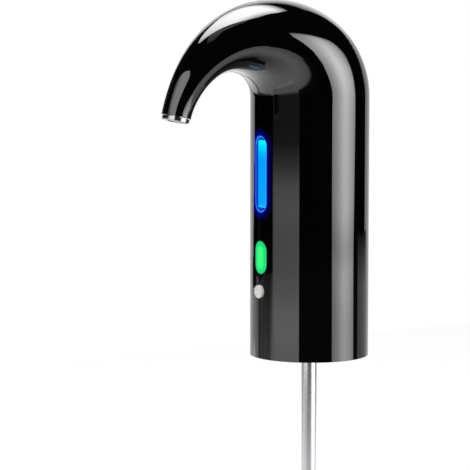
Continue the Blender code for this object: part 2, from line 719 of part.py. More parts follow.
def make_board():
    board = box("main_board", (-BOARD_WIDTH / 2, BOARD_FACE, FRAME_BOTTOM + BOARD_END_MARGIN),
                (BOARD_WIDTH / 2, BOARD_BACK, YOKE_HEIGHT - BOARD_END_MARGIN), PARTS)
    for number, (across, height) in enumerate(board_screw_places(), 1):
        hole = rod(f"board_hole_{number}", BOARD_SCREW_RADIUS + FIT_GAP,
                   (across, BOARD_FACE - CUT_OVERRUN, height), (across, BOARD_BACK + CUT_OVERRUN, height),
                   CUTTERS)
        cut(board, hole)
    paint(board, BOARD_GREEN, 0.5)


def make_switch(name, height):
    """A tact switch on the board and its plunger, which its button pushes."""
    half = SWITCH_SIZE / 2
    body = box(name + "_switch", (-half, SWITCH_FACE, height - half),
               (half, SWITCH_FACE + SWITCH_THICKNESS, height + half), PARTS)
    well_floor = SWITCH_FACE + PLUNGER_HIDDEN + BUTTON_TRAVEL + FIT_GAP
    well = rod(name + "_well", PLUNGER_RADIUS + FIT_GAP, (0, SWITCH_FACE - CUT_OVERRUN, height),
               (0, well_floor, height), CUTTERS)
    cut(body, well)
    paint(body, BLACK_PLASTIC, 0.5)
    plunger = rod(name + "_plunger", PLUNGER_RADIUS, (0, PLUNGER_FACE, height),
                  (0, SWITCH_FACE + PLUNGER_HIDDEN, height), PARTS)
    paint(plunger, WHITE_PLASTIC, 0.4)


def make_led(name, height, tall, colour):
    back = BOARD_FACE - FIT_GAP
    lamp = box(name, (-LED_WIDTH / 2, back - LED_THICKNESS, height - tall / 2),
               (LED_WIDTH / 2, back, height + tall / 2), PARTS)
    paint(lamp, colour, 0.3)


def make_leds():
    for name, step in (("window_led_upper", 1), ("window_led_middle", 0), ("window_led_lower", -1)):
        make_led(name, WINDOW_HEIGHT + step * WINDOW_LED_PITCH, LED_HEIGHT, WINDOW_BLUE)
    for name, step in (("button_led_upper", 1), ("button_led_lower", -1)):
        make_led(name, POUR_HEIGHT + step * BUTTON_LED_OFFSET, BUTTON_LED_HEIGHT, BUTTON_GREEN)


def make_charging_socket():
    mouth = INNER_RADIUS - CHARGE_INSET
    back = mouth - CHARGE_DEPTH
    shell = slot("charging_socket", CHARGE_WIDTH, CHARGE_THICKNESS, back, mouth, CHARGE_HEIGHT,
                 PARTS, lying=True)
    well = slot("charging_well", CHARGE_WIDTH - 2 * CHARGE_METAL, CHARGE_THICKNESS - 2 * CHARGE_METAL,
                back + CHARGE_FLOOR, mouth + CUT_OVERRUN, CHARGE_HEIGHT, CUTTERS, lying=True)
    cut(shell, well)
    half_width, half_height = TONGUE_PLATE_WIDTH / 2, TONGUE_PLATE_THICKNESS / 2
    tongue = box("charging_tongue", (-half_width, back + CHARGE_FLOOR / 2, CHARGE_HEIGHT - half_height),
                 (half_width, mouth - TONGUE_PLATE_SHORT, CHARGE_HEIGHT + half_height), CUTTERS)
    join(shell, tongue)
    paint(shell, STEEL, 0.3, 1.0)
    board_front = back - FIT_GAP - CHARGE_BOARD_THICKNESS
    half_width, half_height = CHARGE_BOARD_WIDTH / 2, CHARGE_BOARD_HEIGHT / 2
    board = box("charging_board", (-half_width, board_front, CHARGE_HEIGHT - half_height),
                (half_width, back - FIT_GAP, CHARGE_HEIGHT + half_height), PARTS)
    paint(board, BOARD_GREEN, 0.5)


# Cell, motor and pump
def make_cell():
    place = Matrix.Translation(CELL_PLACE + UP * SEAT)
    cell = turned("battery_cell", [
        (0, CELL_LENGTH),
        (CELL_POLE_RADIUS, CELL_LENGTH),
        (CELL_POLE_RADIUS, CELL_LENGTH - CELL_POLE),
        (CELL_RADIUS, CELL_LENGTH - CELL_POLE),
        (CELL_RADIUS, 0),
        (0, 0),
    ], PARTS, place=place)
    paint(cell, CELL_BLUE, 0.35)


def make_pump():
    """Motor, crank, diaphragm and pump head, one above the other on one axis."""
    place = Matrix.Translation(PUMP_PLACE)
    chamber = PUMP_RADIUS - PUMP_WALL
    head_top = SEAT + PUMP_HEAD_LENGTH
    head = turned("pump_head", [
        (PUMP_RADIUS, head_top),
        (PUMP_RADIUS, SEAT),
        (AIR_NIPPLE_RADIUS, SEAT),
        (AIR_NIPPLE_RADIUS, SEAT - PUMP_NIPPLE_LENGTH),
        (AIR_BORE_RADIUS, SEAT - PUMP_NIPPLE_LENGTH),
        (AIR_BORE_RADIUS, SEAT + PUMP_FLOOR),
        (chamber, SEAT + PUMP_FLOOR),
        (chamber, head_top),
    ], PARTS, closed=True, place=place)
    intake_centre = PUMP_PLACE + UP * (head_top - PUMP_WALL)
    inward = -PUMP_PLACE.normalized()
    intake = rod("pump_intake", AIR_BORE_RADIUS, intake_centre + inward * PUMP_WALL,
                 intake_centre + inward * (PUMP_RADIUS + CUT_OVERRUN), CUTTERS)
    cut(head, intake)
    paint(head, BLACK_PLASTIC, 0.5)

    sheet_bottom = SEAT + PUMP_FLOOR + FIT_GAP
    sheet_top = sheet_bottom + DIAPHRAGM_THICKNESS
    post_top = sheet_top + DIAPHRAGM_POST
    diaphragm = turned("pump_diaphragm", [
        (0, post_top),
        (DIAPHRAGM_POST_RADIUS, post_top),
        (DIAPHRAGM_POST_RADIUS, sheet_top),
        (chamber - FIT_GAP, sheet_top),
        (chamber - FIT_GAP, sheet_bottom),
        (0, sheet_bottom),
    ], PARTS, place=place)
    paint(diaphragm, BLACK_PLASTIC, 0.8)

    crank_bottom = post_top + FIT_GAP
    crank_top = crank_bottom + CRANK_THICKNESS
    crank = rod("pump_crank", SHAFT_RADIUS, PUMP_PLACE + UP * (crank_bottom + crank_top) / 2,
                PUMP_PLACE + UP * (MOTOR_BOTTOM + SHAFT_IN_MOTOR), PARTS)
    off_centre = PUMP_PLACE + Vector((CRANK_OFFSET, 0, 0))
    disc = rod("crank_disc", CRANK_RADIUS, off_centre + UP * crank_bottom, off_centre + UP * crank_top,
               CUTTERS, ROUND_SIDES)
    join(crank, disc)
    paint(crank, BRASS, 0.3, 1.0)

    motor = turned("pump_motor", [
        (0, MOTOR_TOP + MOTOR_BOSS),
        (MOTOR_BOSS_RADIUS, MOTOR_TOP + MOTOR_BOSS),
        (MOTOR_BOSS_RADIUS, MOTOR_TOP),
        (MOTOR_RADIUS - MOTOR_ROUND, MOTOR_TOP),
        (MOTOR_RADIUS, MOTOR_TOP - MOTOR_ROUND),
        (MOTOR_RADIUS, MOTOR_BOTTOM),
        (SHAFT_RADIUS + FIT_GAP, MOTOR_BOTTOM),
        (SHAFT_RADIUS + FIT_GAP, MOTOR_BOTTOM + SHAFT_IN_MOTOR + FIT_GAP),
        (0, MOTOR_BOTTOM + SHAFT_IN_MOTOR + FIT_GAP),
    ], PARTS, place=place)
    paint(motor, STEEL, 0.3, 1.0)


def make_air_hose():
    """The short hose from the pump's nipple down to the connector's side nipple."""
    outward = PUMP_PLACE.normalized()
    start = outward * (CONNECTOR_RADIUS + FIT_GAP) + UP * AIR_HEIGHT
    points = [start]
    centre = outward * (PUMP_REACH - AIR_HOSE_BEND) + UP * (AIR_HEIGHT + AIR_HOSE_BEND)
    for step in range(END_STEPS + 1):
        turn = math.radians(90) * step / END_STEPS
        arm = outward * math.sin(turn) - UP * math.cos(turn)
        points.append(centre + arm * AIR_HOSE_BEND)
    end = PUMP_PLACE + UP * (SEAT - FIT_GAP)
    points.append(end)
    hose = pipe("air_hose", points, AIR_HOSE_RADIUS, PARTS, 2)
    bore_points = [start - outward * CUT_OVERRUN] + points[1:-1] + [end + UP * CUT_OVERRUN]
    cut(hose, pipe("air_hose_bore", bore_points, AIR_HOSE_BORE_RADIUS, CUTTERS, 2))
    paint(hose, SILICONE, 0.45)


# Connector, stopper, base cup and suction tube
def make_connector():
    connector = turned("tube_connector", [
        (0, CONNECTOR_SHOULDER + BARB_LENGTH),
        (BARB_RADIUS, CONNECTOR_SHOULDER + BARB_LENGTH),
        (BARB_RADIUS, CONNECTOR_SHOULDER),
        (CONNECTOR_NECK_RADIUS, CONNECTOR_SHOULDER),
        (CONNECTOR_NECK_RADIUS, CONNECTOR_BODY_TOP),
        (CONNECTOR_RADIUS, CONNECTOR_BODY_TOP),
        (CONNECTOR_RADIUS, CONNECTOR_FLANGE_TOP),
        (CONNECTOR_FLANGE_RADIUS, CONNECTOR_FLANGE_TOP),
        (CONNECTOR_FLANGE_RADIUS, CUP_TOP + FIT_GAP),
        (CONNECTOR_RADIUS, CUP_TOP + FIT_GAP),
        (CONNECTOR_RADIUS, CONNECTOR_BOTTOM),
        (0, CONNECTOR_BOTTOM),
    ], PARTS)
    outward = PUMP_PLACE.normalized()
    level = UP * AIR_HEIGHT
    nipple_end = outward * AIR_NIPPLE_END + level
    nipple = rod("connector_nipple", AIR_NIPPLE_RADIUS, outward * CONNECTOR_NECK_RADIUS + level,
                 nipple_end, CUTTERS)
    join(connector, nipple)
    tube_socket_radius = TUBE_RADIUS + FIT_GAP
    channel = outward * (CONNECTOR_RADIUS + tube_socket_radius) / 2
    cut(connector,
        rod("tube_socket", tube_socket_radius, UP * (CONNECTOR_BOTTOM - CUT_OVERRUN), UP * TUBE_SOCKET_TOP,
            CUTTERS, ROUND_SIDES),
        rod("wine_bore", WINE_BORE_RADIUS, UP * (TUBE_SOCKET_TOP - CUT_OVERRUN),
            UP * (CONNECTOR_SHOULDER + BARB_LENGTH + CUT_OVERRUN), CUTTERS),
        rod("air_channel", AIR_BORE_RADIUS, channel + UP * (CONNECTOR_BOTTOM - CUT_OVERRUN),
            channel + level, CUTTERS),
        rod("air_inlet", AIR_BORE_RADIUS, channel + level, nipple_end + outward * CUT_OVERRUN, CUTTERS))
    paint(connector, GREY_PLASTIC, 0.4)

    seal_reach = CONNECTOR_RADIUS + 2 * FIT_GAP + SEAL_WIRE_RADIUS
    seal_height = CUP_TOP - SEAL_SEAT_DEPTH + FIT_GAP + SEAL_WIRE_RADIUS
    wire = []
    for step in range(SMALL_SIDES // 2):
        turn = -math.tau * step / (SMALL_SIDES // 2)
        wire.append((seal_reach + SEAL_WIRE_RADIUS * math.cos(turn),
                     seal_height + SEAL_WIRE_RADIUS * math.sin(turn)))
    seal = turned("connector_seal", wire, PARTS, closed=True)
    paint(seal, BLACK_PLASTIC, 0.7)


def make_stopper():
    """A ribbed silicone plug whose flange lies on the bottle's lip."""
    profile = [(STOPPER_FLANGE_RADIUS, STOPPER_TOP), (STOPPER_FLANGE_RADIUS, STOPPER_SEAT),
               (STOPPER_RADIUS, STOPPER_SEAT)]
    plug_end = CONNECTOR_BOTTOM - FIT_GAP
    neck_end = STOPPER_SEAT - STOPPER_NECK
    pitch = (neck_end - plug_end - STOPPER_TIP_LENGTH) / STOPPER_RIBS
    for rib in range(STOPPER_RIBS):
        top = neck_end - pitch * rib
        profile.append((STOPPER_RADIUS, top))
        profile.append((STOPPER_RADIUS + STOPPER_RIB, top - pitch * RIB_CREST_SHARE))
        profile.append((STOPPER_RADIUS, top - pitch * RIB_UNDER_SHARE))
    profile.append((STOPPER_RADIUS, plug_end + STOPPER_TIP_LENGTH))
    profile += [(STOPPER_TIP_RADIUS, plug_end), (STOPPER_BORE_RADIUS, plug_end),
                (STOPPER_BORE_RADIUS, STOPPER_TOP)]
    stopper = turned("bottle_stopper", profile, PARTS, closed=True)
    paint(stopper, SILICONE, 0.55)


def base_screw_places():
    """The screws' axes, the first one at the back."""
    step = math.tau / BASE_SCREWS
    return [Matrix.Rotation(step * number, 3, "Z") @ Vector((0, BASE_SCREW_CIRCLE, 0))
            for number in range(BASE_SCREWS)]


def make_base_cup():
    """The cup that holds the bottle's neck, with an open trough and its screw posts."""
    hole = CONNECTOR_RADIUS + FIT_GAP
    seal_seat = hole + 2 * SEAL_WIRE_RADIUS + FIT_GAP
    floor = BASE_RECESS + BASE_WALL
    cup = turned("base_cup", [
        (FITTED_RADIUS, CUP_TOP),
        (FITTED_RADIUS, BASE_RECESS),
        (SOCKET_RADIUS + SOCKET_LEAD, BASE_RECESS),
        (SOCKET_RADIUS, BASE_RECESS + SOCKET_LEAD),
        (SOCKET_RADIUS, SOCKET_DEPTH),
        (hole, SOCKET_DEPTH),
        (hole, CUP_TOP - SEAL_SEAT_DEPTH),
        (seal_seat, CUP_TOP - SEAL_SEAT_DEPTH),
        (seal_seat, CUP_TOP),
        (SOCKET_RADIUS + BASE_WALL, CUP_TOP),
        (SOCKET_RADIUS + BASE_WALL, floor),
        (FITTED_RADIUS - BASE_WALL, floor),
        (FITTED_RADIUS - BASE_WALL, CUP_TOP),
    ], PARTS, closed=True, sides=SHELL_SIDES)
    grip_bottom = CUP_TOP - BASE_SCREW_GRIP
    posts, wells = [], []
    for number, place in enumerate(base_screw_places(), 1):
        posts.append(rod(f"cup_post_{number}", BASE_POST_RADIUS, place + UP * (BASE_RECESS + BASE_WALL / 2),
                         place + UP * CUP_TOP, CUTTERS))
        wells.append(rod(f"cup_well_{number}", BASE_SCREW_HEAD_RADIUS + FIT_GAP,
                         place - UP * CUT_OVERRUN, place + UP * grip_bottom, CUTTERS))
        wells.append(rod(f"cup_hole_{number}", BASE_SCREW_RADIUS + FIT_GAP,
                         place + UP * (grip_bottom - CUT_OVERRUN), place + UP * (CUP_TOP + CUT_OVERRUN),
                         CUTTERS))
    join(cup, *posts)
    cut(cup, *wells)
    paint(cup, BLACK_PLASTIC, 0.45)


def make_suction_tube():
    """Three steel tubes, each sliding in the one above it."""
    top = TUBE_SOCKET_TOP - FIT_GAP
    bottom = top - TUBE_LENGTH
    radius = TUBE_RADIUS
    for number, name in enumerate(("upper_suction_tube", "middle_suction_tube", "lower_suction_tube")):
        bore = radius - TUBE_WALL
        start = top - number * FIT_GAP
        end = bottom - number * TUBE_STEP
        profile = [(radius, start), (radius, end), (bore, end), (bore, start)]
        if name == "lower_suction_tube":
            foot = [(radius, end + TUBE_FOOT_LENGTH), (TUBE_FOOT_RADIUS, end + TUBE_FOOT_LENGTH),
                    (TUBE_FOOT_RADIUS, end)]
            profile[1:2] = foot
        tube = turned(name, profile, PARTS, closed=True)
        paint(tube, STEEL, 0.2, 1.0)
        radius = bore - FIT_GAP


# Inner frame and screws
def make_frame():
    """A moulded carrier: skirt, deck, upright plate, saddles, tabs, yoke and posts."""
    rim = FITTED_RADIUS
    frame = turned("inner_frame", [
        (rim, DECK_TOP),
        (rim, FRAME_BOTTOM),
        (rim - SKIRT_WALL, FRAME_BOTTOM),
        (rim - SKIRT_WALL, DECK_BOTTOM),
        (CONNECTOR_NECK_RADIUS + FIT_GAP, DECK_BOTTOM),
        (CONNECTOR_NECK_RADIUS + FIT_GAP, DECK_TOP),
    ], PARTS, closed=True, sides=SHELL_SIDES)
    half = PLATE_WIDTH / 2
    yoke_top = YOKE_HEIGHT + YOKE_THICKNESS
    deck_middle = (DECK_BOTTOM + DECK_TOP) / 2
    plate = box("frame_plate", (-half, PLATE_FRONT, deck_middle),
                (half, PLATE_BACK, (YOKE_HEIGHT + yoke_top) / 2), CUTTERS)
    yoke = rod("frame_yoke", rim, UP * YOKE_HEIGHT, UP * yoke_top, CUTTERS, SHELL_SIDES)
    join(frame, plate, yoke)

    root = PLATE_BACK - PLATE_THICKNESS / 2
    cell_top = SEAT + CELL_LENGTH
    motor_end = MOTOR_TOP + MOTOR_BOSS
    saddle_back = PLATE_BACK + SADDLE_DEPTH
    inner_end = HOSE_RADIUS + SADDLE_MARGIN
    outer_end = half - SADDLE_MARGIN
    supports = []
    saddles = [(-1, SEAT + CELL_LENGTH * SADDLE_LOW_SHARE), (-1, SEAT + CELL_LENGTH * SADDLE_HIGH_SHARE),
               (1, MOTOR_BOTTOM + MOTOR_LENGTH * SADDLE_MOTOR_SHARE)]
    for number, (side, height) in enumerate(saddles, 1):
        ends = sorted((side * inner_end, side * outer_end))
        supports.append(box(f"saddle_{number}", (ends[0], root, height),
                            (ends[1], saddle_back, height + SADDLE_THICKNESS), CUTTERS))
    for name, centre, top in (("cell_tab", CELL_PLACE.x, cell_top), ("motor_tab", PUMP_PLACE.x, motor_end)):
        low = top + FIT_GAP
        supports.append(box(name, (centre - TAB_WIDTH / 2, root, low),
                            (centre + TAB_WIDTH / 2, PLATE_BACK + TAB_DEPTH, low + TAB_THICKNESS), CUTTERS))
    bracket_back = INNER_RADIUS - CHARGE_INSET - CHARGE_DEPTH - CHARGE_BOARD_THICKNESS - 2 * FIT_GAP
    bracket_front = bracket_back - BRACKET_THICKNESS
    supports.append(box("charge_bracket", (-BRACKET_WIDTH / 2, bracket_front, deck_middle),
                        (BRACKET_WIDTH / 2, bracket_back, DECK_TOP + BRACKET_HEIGHT), CUTTERS))
    for number, place in enumerate(base_screw_places(), 1):
        supports.append(rod(f"frame_boss_{number}", BASE_POST_RADIUS, place + UP * FRAME_BOTTOM,
                            place + UP * deck_middle, CUTTERS))
    for number, (across, height) in enumerate(board_screw_places(), 1):
        supports.append(rod(f"board_post_{number}", BOARD_POST_RADIUS, (across, root, height),
                            (across, BOARD_BACK + FIT_GAP, height), CUTTERS))
    join(frame, *supports)

    notch = BOARD_WIDTH / 2 + BOARD_NOTCH_MARGIN
    cuts = [
        box("board_notch", (-notch, -BODY_RADIUS, FRAME_BOTTOM - CUT_OVERRUN),
            (notch, BOARD_BACK + BOARD_NOTCH_MARGIN, DECK_TOP + CUT_OVERRUN), CUTTERS),
        rod("cell_room", CELL_RADIUS + FIT_GAP, CELL_PLACE + UP * SEAT, CELL_PLACE + UP * cell_top,
            CUTTERS, ROUND_SIDES),
        rod("motor_room", PUMP_RADIUS + FIT_GAP, PUMP_PLACE + UP * SEAT, PUMP_PLACE + UP * MOTOR_TOP,
            CUTTERS, ROUND_SIDES),
        rod("nipple_hole", AIR_HOSE_RADIUS + FIT_GAP, PUMP_PLACE + UP * (DECK_BOTTOM - CUT_OVERRUN),
            PUMP_PLACE + UP * SEAT, CUTTERS),
        rod("hose_hole", HOSE_RADIUS + FIT_GAP, UP * (YOKE_HEIGHT - CUT_OVERRUN),
            UP * (yoke_top + CUT_OVERRUN), CUTTERS),
    ]
    screw_reach = BASE_SCREW_LENGTH - BASE_SCREW_GRIP
    for number, place in enumerate(base_screw_places(), 1):
        cuts.append(rod(f"boss_pilot_{number}", BASE_SCREW_RADIUS + FIT_GAP,
                        place + UP * (FRAME_BOTTOM - CUT_OVERRUN),
                        place + UP * (CUP_TOP + screw_reach + FIT_GAP), CUTTERS))
    for number, (across, height) in enumerate(board_screw_places(), 1):
        cuts.append(rod(f"post_pilot_{number}", BOARD_SCREW_RADIUS + FIT_GAP,
                        (across, BOARD_BACK - CUT_OVERRUN, height),
                        (across, BOARD_FACE + BOARD_SCREW_LENGTH + FIT_GAP, height), CUTTERS))
    cut(frame, *cuts)
    paint(frame, GREY_PLASTIC, 0.5)


def make_screw(name, head_radius, head, radius, length, place):
    """A screw whose head's underside is at the place's origin, driven along its -Z."""
    screw = turned(name, [
        (0, head),
        (head_radius * HEAD_FLAT_SHARE, head),
        (head_radius, head * HEAD_EDGE_SHARE),
        (head_radius, 0),
        (radius, 0),
        (radius, -length + radius),
        (radius * HEAD_EDGE_SHARE, -length),
        (0, -length),
    ], PARTS, sides=SMALL_SIDES, place=place)
    paint(screw, STEEL, 0.3, 1.0)


def make_screws():
    from_below = Matrix.Rotation(math.radians(180), 4, "X")
    for number, place in enumerate(base_screw_places(), 1):
        seat = place + UP * (CUP_TOP - BASE_SCREW_GRIP - FIT_GAP)
        make_screw(f"base_screw_{number}", BASE_SCREW_HEAD_RADIUS, BASE_SCREW_HEAD, BASE_SCREW_RADIUS,
                   BASE_SCREW_LENGTH, Matrix.Translation(seat) @ from_below)
    for number, (across, height) in enumerate(board_screw_places(), 1):
        seat = Matrix.Translation((across, BOARD_FACE - FIT_GAP, height)) @ FACING_FRONT
        make_screw(f"board_screw_{number}", BOARD_SCREW_HEAD_RADIUS, BOARD_SCREW_HEAD, BOARD_SCREW_RADIUS,
                   BOARD_SCREW_LENGTH, seat)


clear_scene()
PARTS = new_group("electric_wine_aerator")
CUTTERS = new_group("cutters")
FACE_LIMIT = flush_cylinder("face_limit", BODY_RADIUS)
FLANGE_LIMIT = flush_cylinder("flange_limit", FITTED_RADIUS)
make_shells()
make_spout_end()
make_wine_hose()
make_window(FACE_LIMIT, FLANGE_LIMIT)
make_buttons(FACE_LIMIT, FLANGE_LIMIT)
make_board()
make_switch("pour", POUR_HEIGHT)
make_switch("power", POWER_HEIGHT)
make_leds()
make_charging_socket()
make_cell()
make_pump()
make_air_hose()
make_connector()
make_stopper()
make_base_cup()
make_suction_tube()
make_frame()
make_screws()
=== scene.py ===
import math

import bpy
from mathutils import Matrix, Quaternion, Vector
from mathutils.geometry import interpolate_bezier


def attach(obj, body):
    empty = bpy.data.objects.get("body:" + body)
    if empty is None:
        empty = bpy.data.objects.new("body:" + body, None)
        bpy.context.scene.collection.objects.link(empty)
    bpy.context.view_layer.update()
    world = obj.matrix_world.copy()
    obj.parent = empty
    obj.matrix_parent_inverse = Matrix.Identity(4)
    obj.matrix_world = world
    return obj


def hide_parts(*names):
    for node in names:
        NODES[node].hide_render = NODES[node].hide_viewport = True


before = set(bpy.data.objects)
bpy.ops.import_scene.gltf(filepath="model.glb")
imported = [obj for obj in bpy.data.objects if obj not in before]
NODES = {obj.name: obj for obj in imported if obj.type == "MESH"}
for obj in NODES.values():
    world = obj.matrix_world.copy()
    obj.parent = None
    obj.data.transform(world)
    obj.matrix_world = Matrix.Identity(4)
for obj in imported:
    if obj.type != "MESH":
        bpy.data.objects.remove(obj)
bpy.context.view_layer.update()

BODY = "aerator_body"


# Camera. It stands 1.1 m from the aerator, a little above its middle and round to the
# right of its front, where a long lens draws the body, the window and the spout together.
VIEW_AZIMUTH = math.radians(57.35)
VIEW_ELEVATION = math.radians(5.69)
VIEW_DISTANCE = 1.1
VIEW_TARGET = Vector((-0.02529, -0.02840, 0.05997))
VIEW_LENS_MM, VIEW_SENSOR_MM = 165.8, 36
VIEW_REACH = 20


def direction(azimuth, elevation=0.0):
    """The unit vector towards an azimuth, which is zero at the front and grows to the right."""
    level = math.cos(elevation)
    return Vector((math.sin(azimuth) * level, -math.cos(azimuth) * level, math.sin(elevation)))


bpy.ops.object.select_all(action="DESELECT")
towards_camera = direction(VIEW_AZIMUTH, VIEW_ELEVATION)
bpy.ops.object.camera_add(location=VIEW_TARGET + towards_camera * VIEW_DISTANCE)
camera = bpy.context.object
camera.name = "studio_camera"
camera.rotation_euler = (-towards_camera).to_track_quat("-Z", "Y").to_euler()
camera.data.lens = VIEW_LENS_MM
camera.data.sensor_width = VIEW_SENSOR_MM
camera.data.clip_end = VIEW_REACH
bpy.context.scene.camera = camera
bpy.context.scene.view_settings.view_transform = "Standard"


# Floor and surroundings. A pale studio floor lies below the reach of the drawn-out suction
# tube, and white surroundings show to the lens, in the gloss and through clear plastic.
FLOOR_HEIGHT = -0.262
FLOOR_SIZE = 3.0
FLOOR_GREY = 0.25
FLOOR_GLOW = 0.82
WORLD_LIGHT = 0.55


def worked_out(tree, operation, *values, kind="ShaderNodeMath", output=0):
    """The result of a maths node whose inputs are sockets or plain values."""
    step = tree.nodes.new(kind)
    step.operation = operation
    for number, value in enumerate(values):
        if isinstance(value, bpy.types.NodeSocket):
            tree.links.new(value, step.inputs[number])
        else:
            step.inputs[number].default_value = value
    return step.outputs[output]


def ranged(tree, source, low, high, start=0.0, end=1.0):
    """A measured value between two limits, laid over the way from a start to an end."""
    reach = tree.nodes.new("ShaderNodeMapRange")
    for socket, value in (("From Min", low), ("From Max", high), ("To Min", start), ("To Max", end)):
        reach.inputs[socket].default_value = value
    tree.links.new(source, reach.inputs["Value"])
    return reach.outputs["Result"]


def seen_rays(tree):
    """A value of one for camera, glossy and transmission rays, and of zero for the rest."""
    path = tree.nodes.new("ShaderNodeLightPath")
    seen = path.outputs["Is Camera Ray"]
    for ray in ("Is Glossy Ray", "Is Transmission Ray"):
        seen = worked_out(tree, "MAXIMUM", seen, path.outputs[ray])
    return seen


world = bpy.data.worlds.new("studio_world")
bpy.context.scene.world = world
world.use_nodes = True
tree = world.node_tree
sky = tree.nodes["Background"]
sky.inputs["Color"].default_value = (1, 1, 1, 1)
tree.links.new(ranged(tree, seen_rays(tree), 0, 1, WORLD_LIGHT, 1.0), sky.inputs["Strength"])

bpy.ops.object.select_all(action="DESELECT")
bpy.ops.mesh.primitive_plane_add(size=FLOOR_SIZE, location=(0, 0, FLOOR_HEIGHT))
floor = bpy.context.object
floor.name = "studio_floor"
paper = bpy.data.materials.new("studio_paper")
paper.use_nodes = True
tree = paper.node_tree
tree.nodes.clear()
matt = tree.nodes.new("ShaderNodeBsdfDiffuse")
matt.inputs["Color"].default_value = (FLOOR_GREY, FLOOR_GREY, FLOOR_GREY, 1)
glow = tree.nodes.new("ShaderNodeEmission")
tree.links.new(worked_out(tree, "MULTIPLY", seen_rays(tree), FLOOR_GLOW), glow.inputs["Strength"])
both = tree.nodes.new("ShaderNodeAddShader")
tree.links.new(matt.outputs[0], both.inputs[0])
tree.links.new(glow.outputs[0], both.inputs[1])
out = tree.nodes.new("ShaderNodeOutputMaterial")
tree.links.new(both.outputs[0], out.inputs["Surface"])
floor.data.materials.append(paper)


# Tent, soft boxes and table light. A black tent, lit cards and a lit table stand round the
# aerator, and the gloss shows them as its bands. Azimuths here are counted from the camera.
TENT_RADIUS = 1.3
TENT_MIDDLE = 0.08
TENT_STEPS = 240
TENT_BLACK = 0.004
TENT_BACK = 45
TENT_SIDES = ((-0.4, -124, 131), (-0.125, -124, 131), (-0.124, -142.5, 131), (-0.1, -142, 131),
              (-0.076, -140, 131), (-0.05, -138.5, 131), (-0.02, -138, 131), (0.05, -133, 131),
              (0.2, -140, 131), (0.3, -145, 131), (0.5, -150, 141), (0.6, -152, 151), (0.9, -157, 153),
              (1.5, -157, 153))
# Heights and level of a painted glow at the tent's foot.
PAINTED_FOOT_LOW, PAINTED_FOOT_HIGH, PAINTED_FOOT_GLOW = -0.13, -0.06, 0.03


def hide_from_lens(thing):
    """Leaves a stage piece to the reflections and to what is seen through clear plastic."""
    thing.visible_camera = False
    thing.visible_diffuse = False
    thing.visible_shadow = False


def light_paint(name, strength):
    """A material that gives off white light, its tree, its shader and a split of its places."""
    paint = bpy.data.materials.new(name)
    paint.use_nodes = True
    tree = paint.node_tree
    tree.nodes.clear()
    lit = tree.nodes.new("ShaderNodeEmission")
    lit.inputs["Strength"].default_value = strength
    out = tree.nodes.new("ShaderNodeOutputMaterial")
    tree.links.new(lit.outputs[0], out.inputs["Surface"])
    place = tree.nodes.new("ShaderNodeTexCoord")
    parts = tree.nodes.new("ShaderNodeSeparateXYZ")
    tree.links.new(place.outputs["Object"], parts.inputs[0])
    return paint, tree, lit, parts


def ramp_over(tree, source, stops):
    """Grey or coloured stops laid over a measured value."""
    low, high = stops[0][0], stops[-1][0]
    ramp = tree.nodes.new("ShaderNodeValToRGB")
    for number, (where, *shade) in enumerate(stops):
        spot = (where - low) / (high - low)
        stop = ramp.color_ramp.elements[number] if number < 2 else ramp.color_ramp.elements.new(spot)
        stop.position = spot
        stop.color = (*(shade if len(shade) == 3 else shade * 3), 1)
    tree.links.new(ranged(tree, source, low, high), ramp.inputs[0])
    return ramp.outputs["Color"]


def tent_side(height, column):
    """The tent's left or right azimuth at a height, between the rows of TENT_SIDES that hold all three."""
    for low, high in zip(TENT_SIDES, TENT_SIDES[1:]):
        if height < high[0]:
            return low[column] + (high[column] - low[column]) * (height - low[0]) / (high[0] - low[0])


bpy.ops.object.select_all(action="DESELECT")
bpy.ops.mesh.primitive_uv_sphere_add(segments=TENT_STEPS, ring_count=TENT_STEPS // 2, radius=TENT_RADIUS,
                                     location=(0, 0, TENT_MIDDLE))
tent = bpy.context.object
tent.name = "tent"
bpy.ops.object.transform_apply()
bpy.ops.object.mode_set(mode="EDIT")
bpy.ops.mesh.select_all(action="DESELECT")
bpy.ops.mesh.select_mode(type="FACE")
bpy.ops.object.mode_set(mode="OBJECT")
for face in tent.data.polygons:
    x, y, z = face.center
    turn = (math.degrees(math.atan2(x, -y) - VIEW_AZIMUTH) + 540) % 360 - 180
    rise = math.degrees(math.atan2(z - TENT_MIDDLE, math.hypot(x, y)))
    open_side = rise < TENT_BACK and not tent_side(z, 1) < turn < tent_side(z, 2)
    face.select = z < FLOOR_HEIGHT or open_side
bpy.ops.object.mode_set(mode="EDIT")
bpy.ops.mesh.delete(type="FACE")
bpy.ops.object.mode_set(mode="OBJECT")
cloth, tree, lit, parts = light_paint("tent_cloth", TENT_BLACK)
# Below the body the tent gives off more light towards the floor than the black cloth above it: a painted glow that
# stands in for the dim table in shade, as the gloss sees it.
painted_foot_glow = ranged(tree, parts.outputs["Z"], PAINTED_FOOT_LOW, PAINTED_FOOT_HIGH, PAINTED_FOOT_GLOW, TENT_BLACK)
tree.links.new(painted_foot_glow, lit.inputs["Strength"])
tent.data.materials.append(cloth)
hide_from_lens(tent)


def oblong(left, right, low, high):
    """The corners of a card with four square sides."""
    return ((left, low), (right, low), (right, high), (left, high))


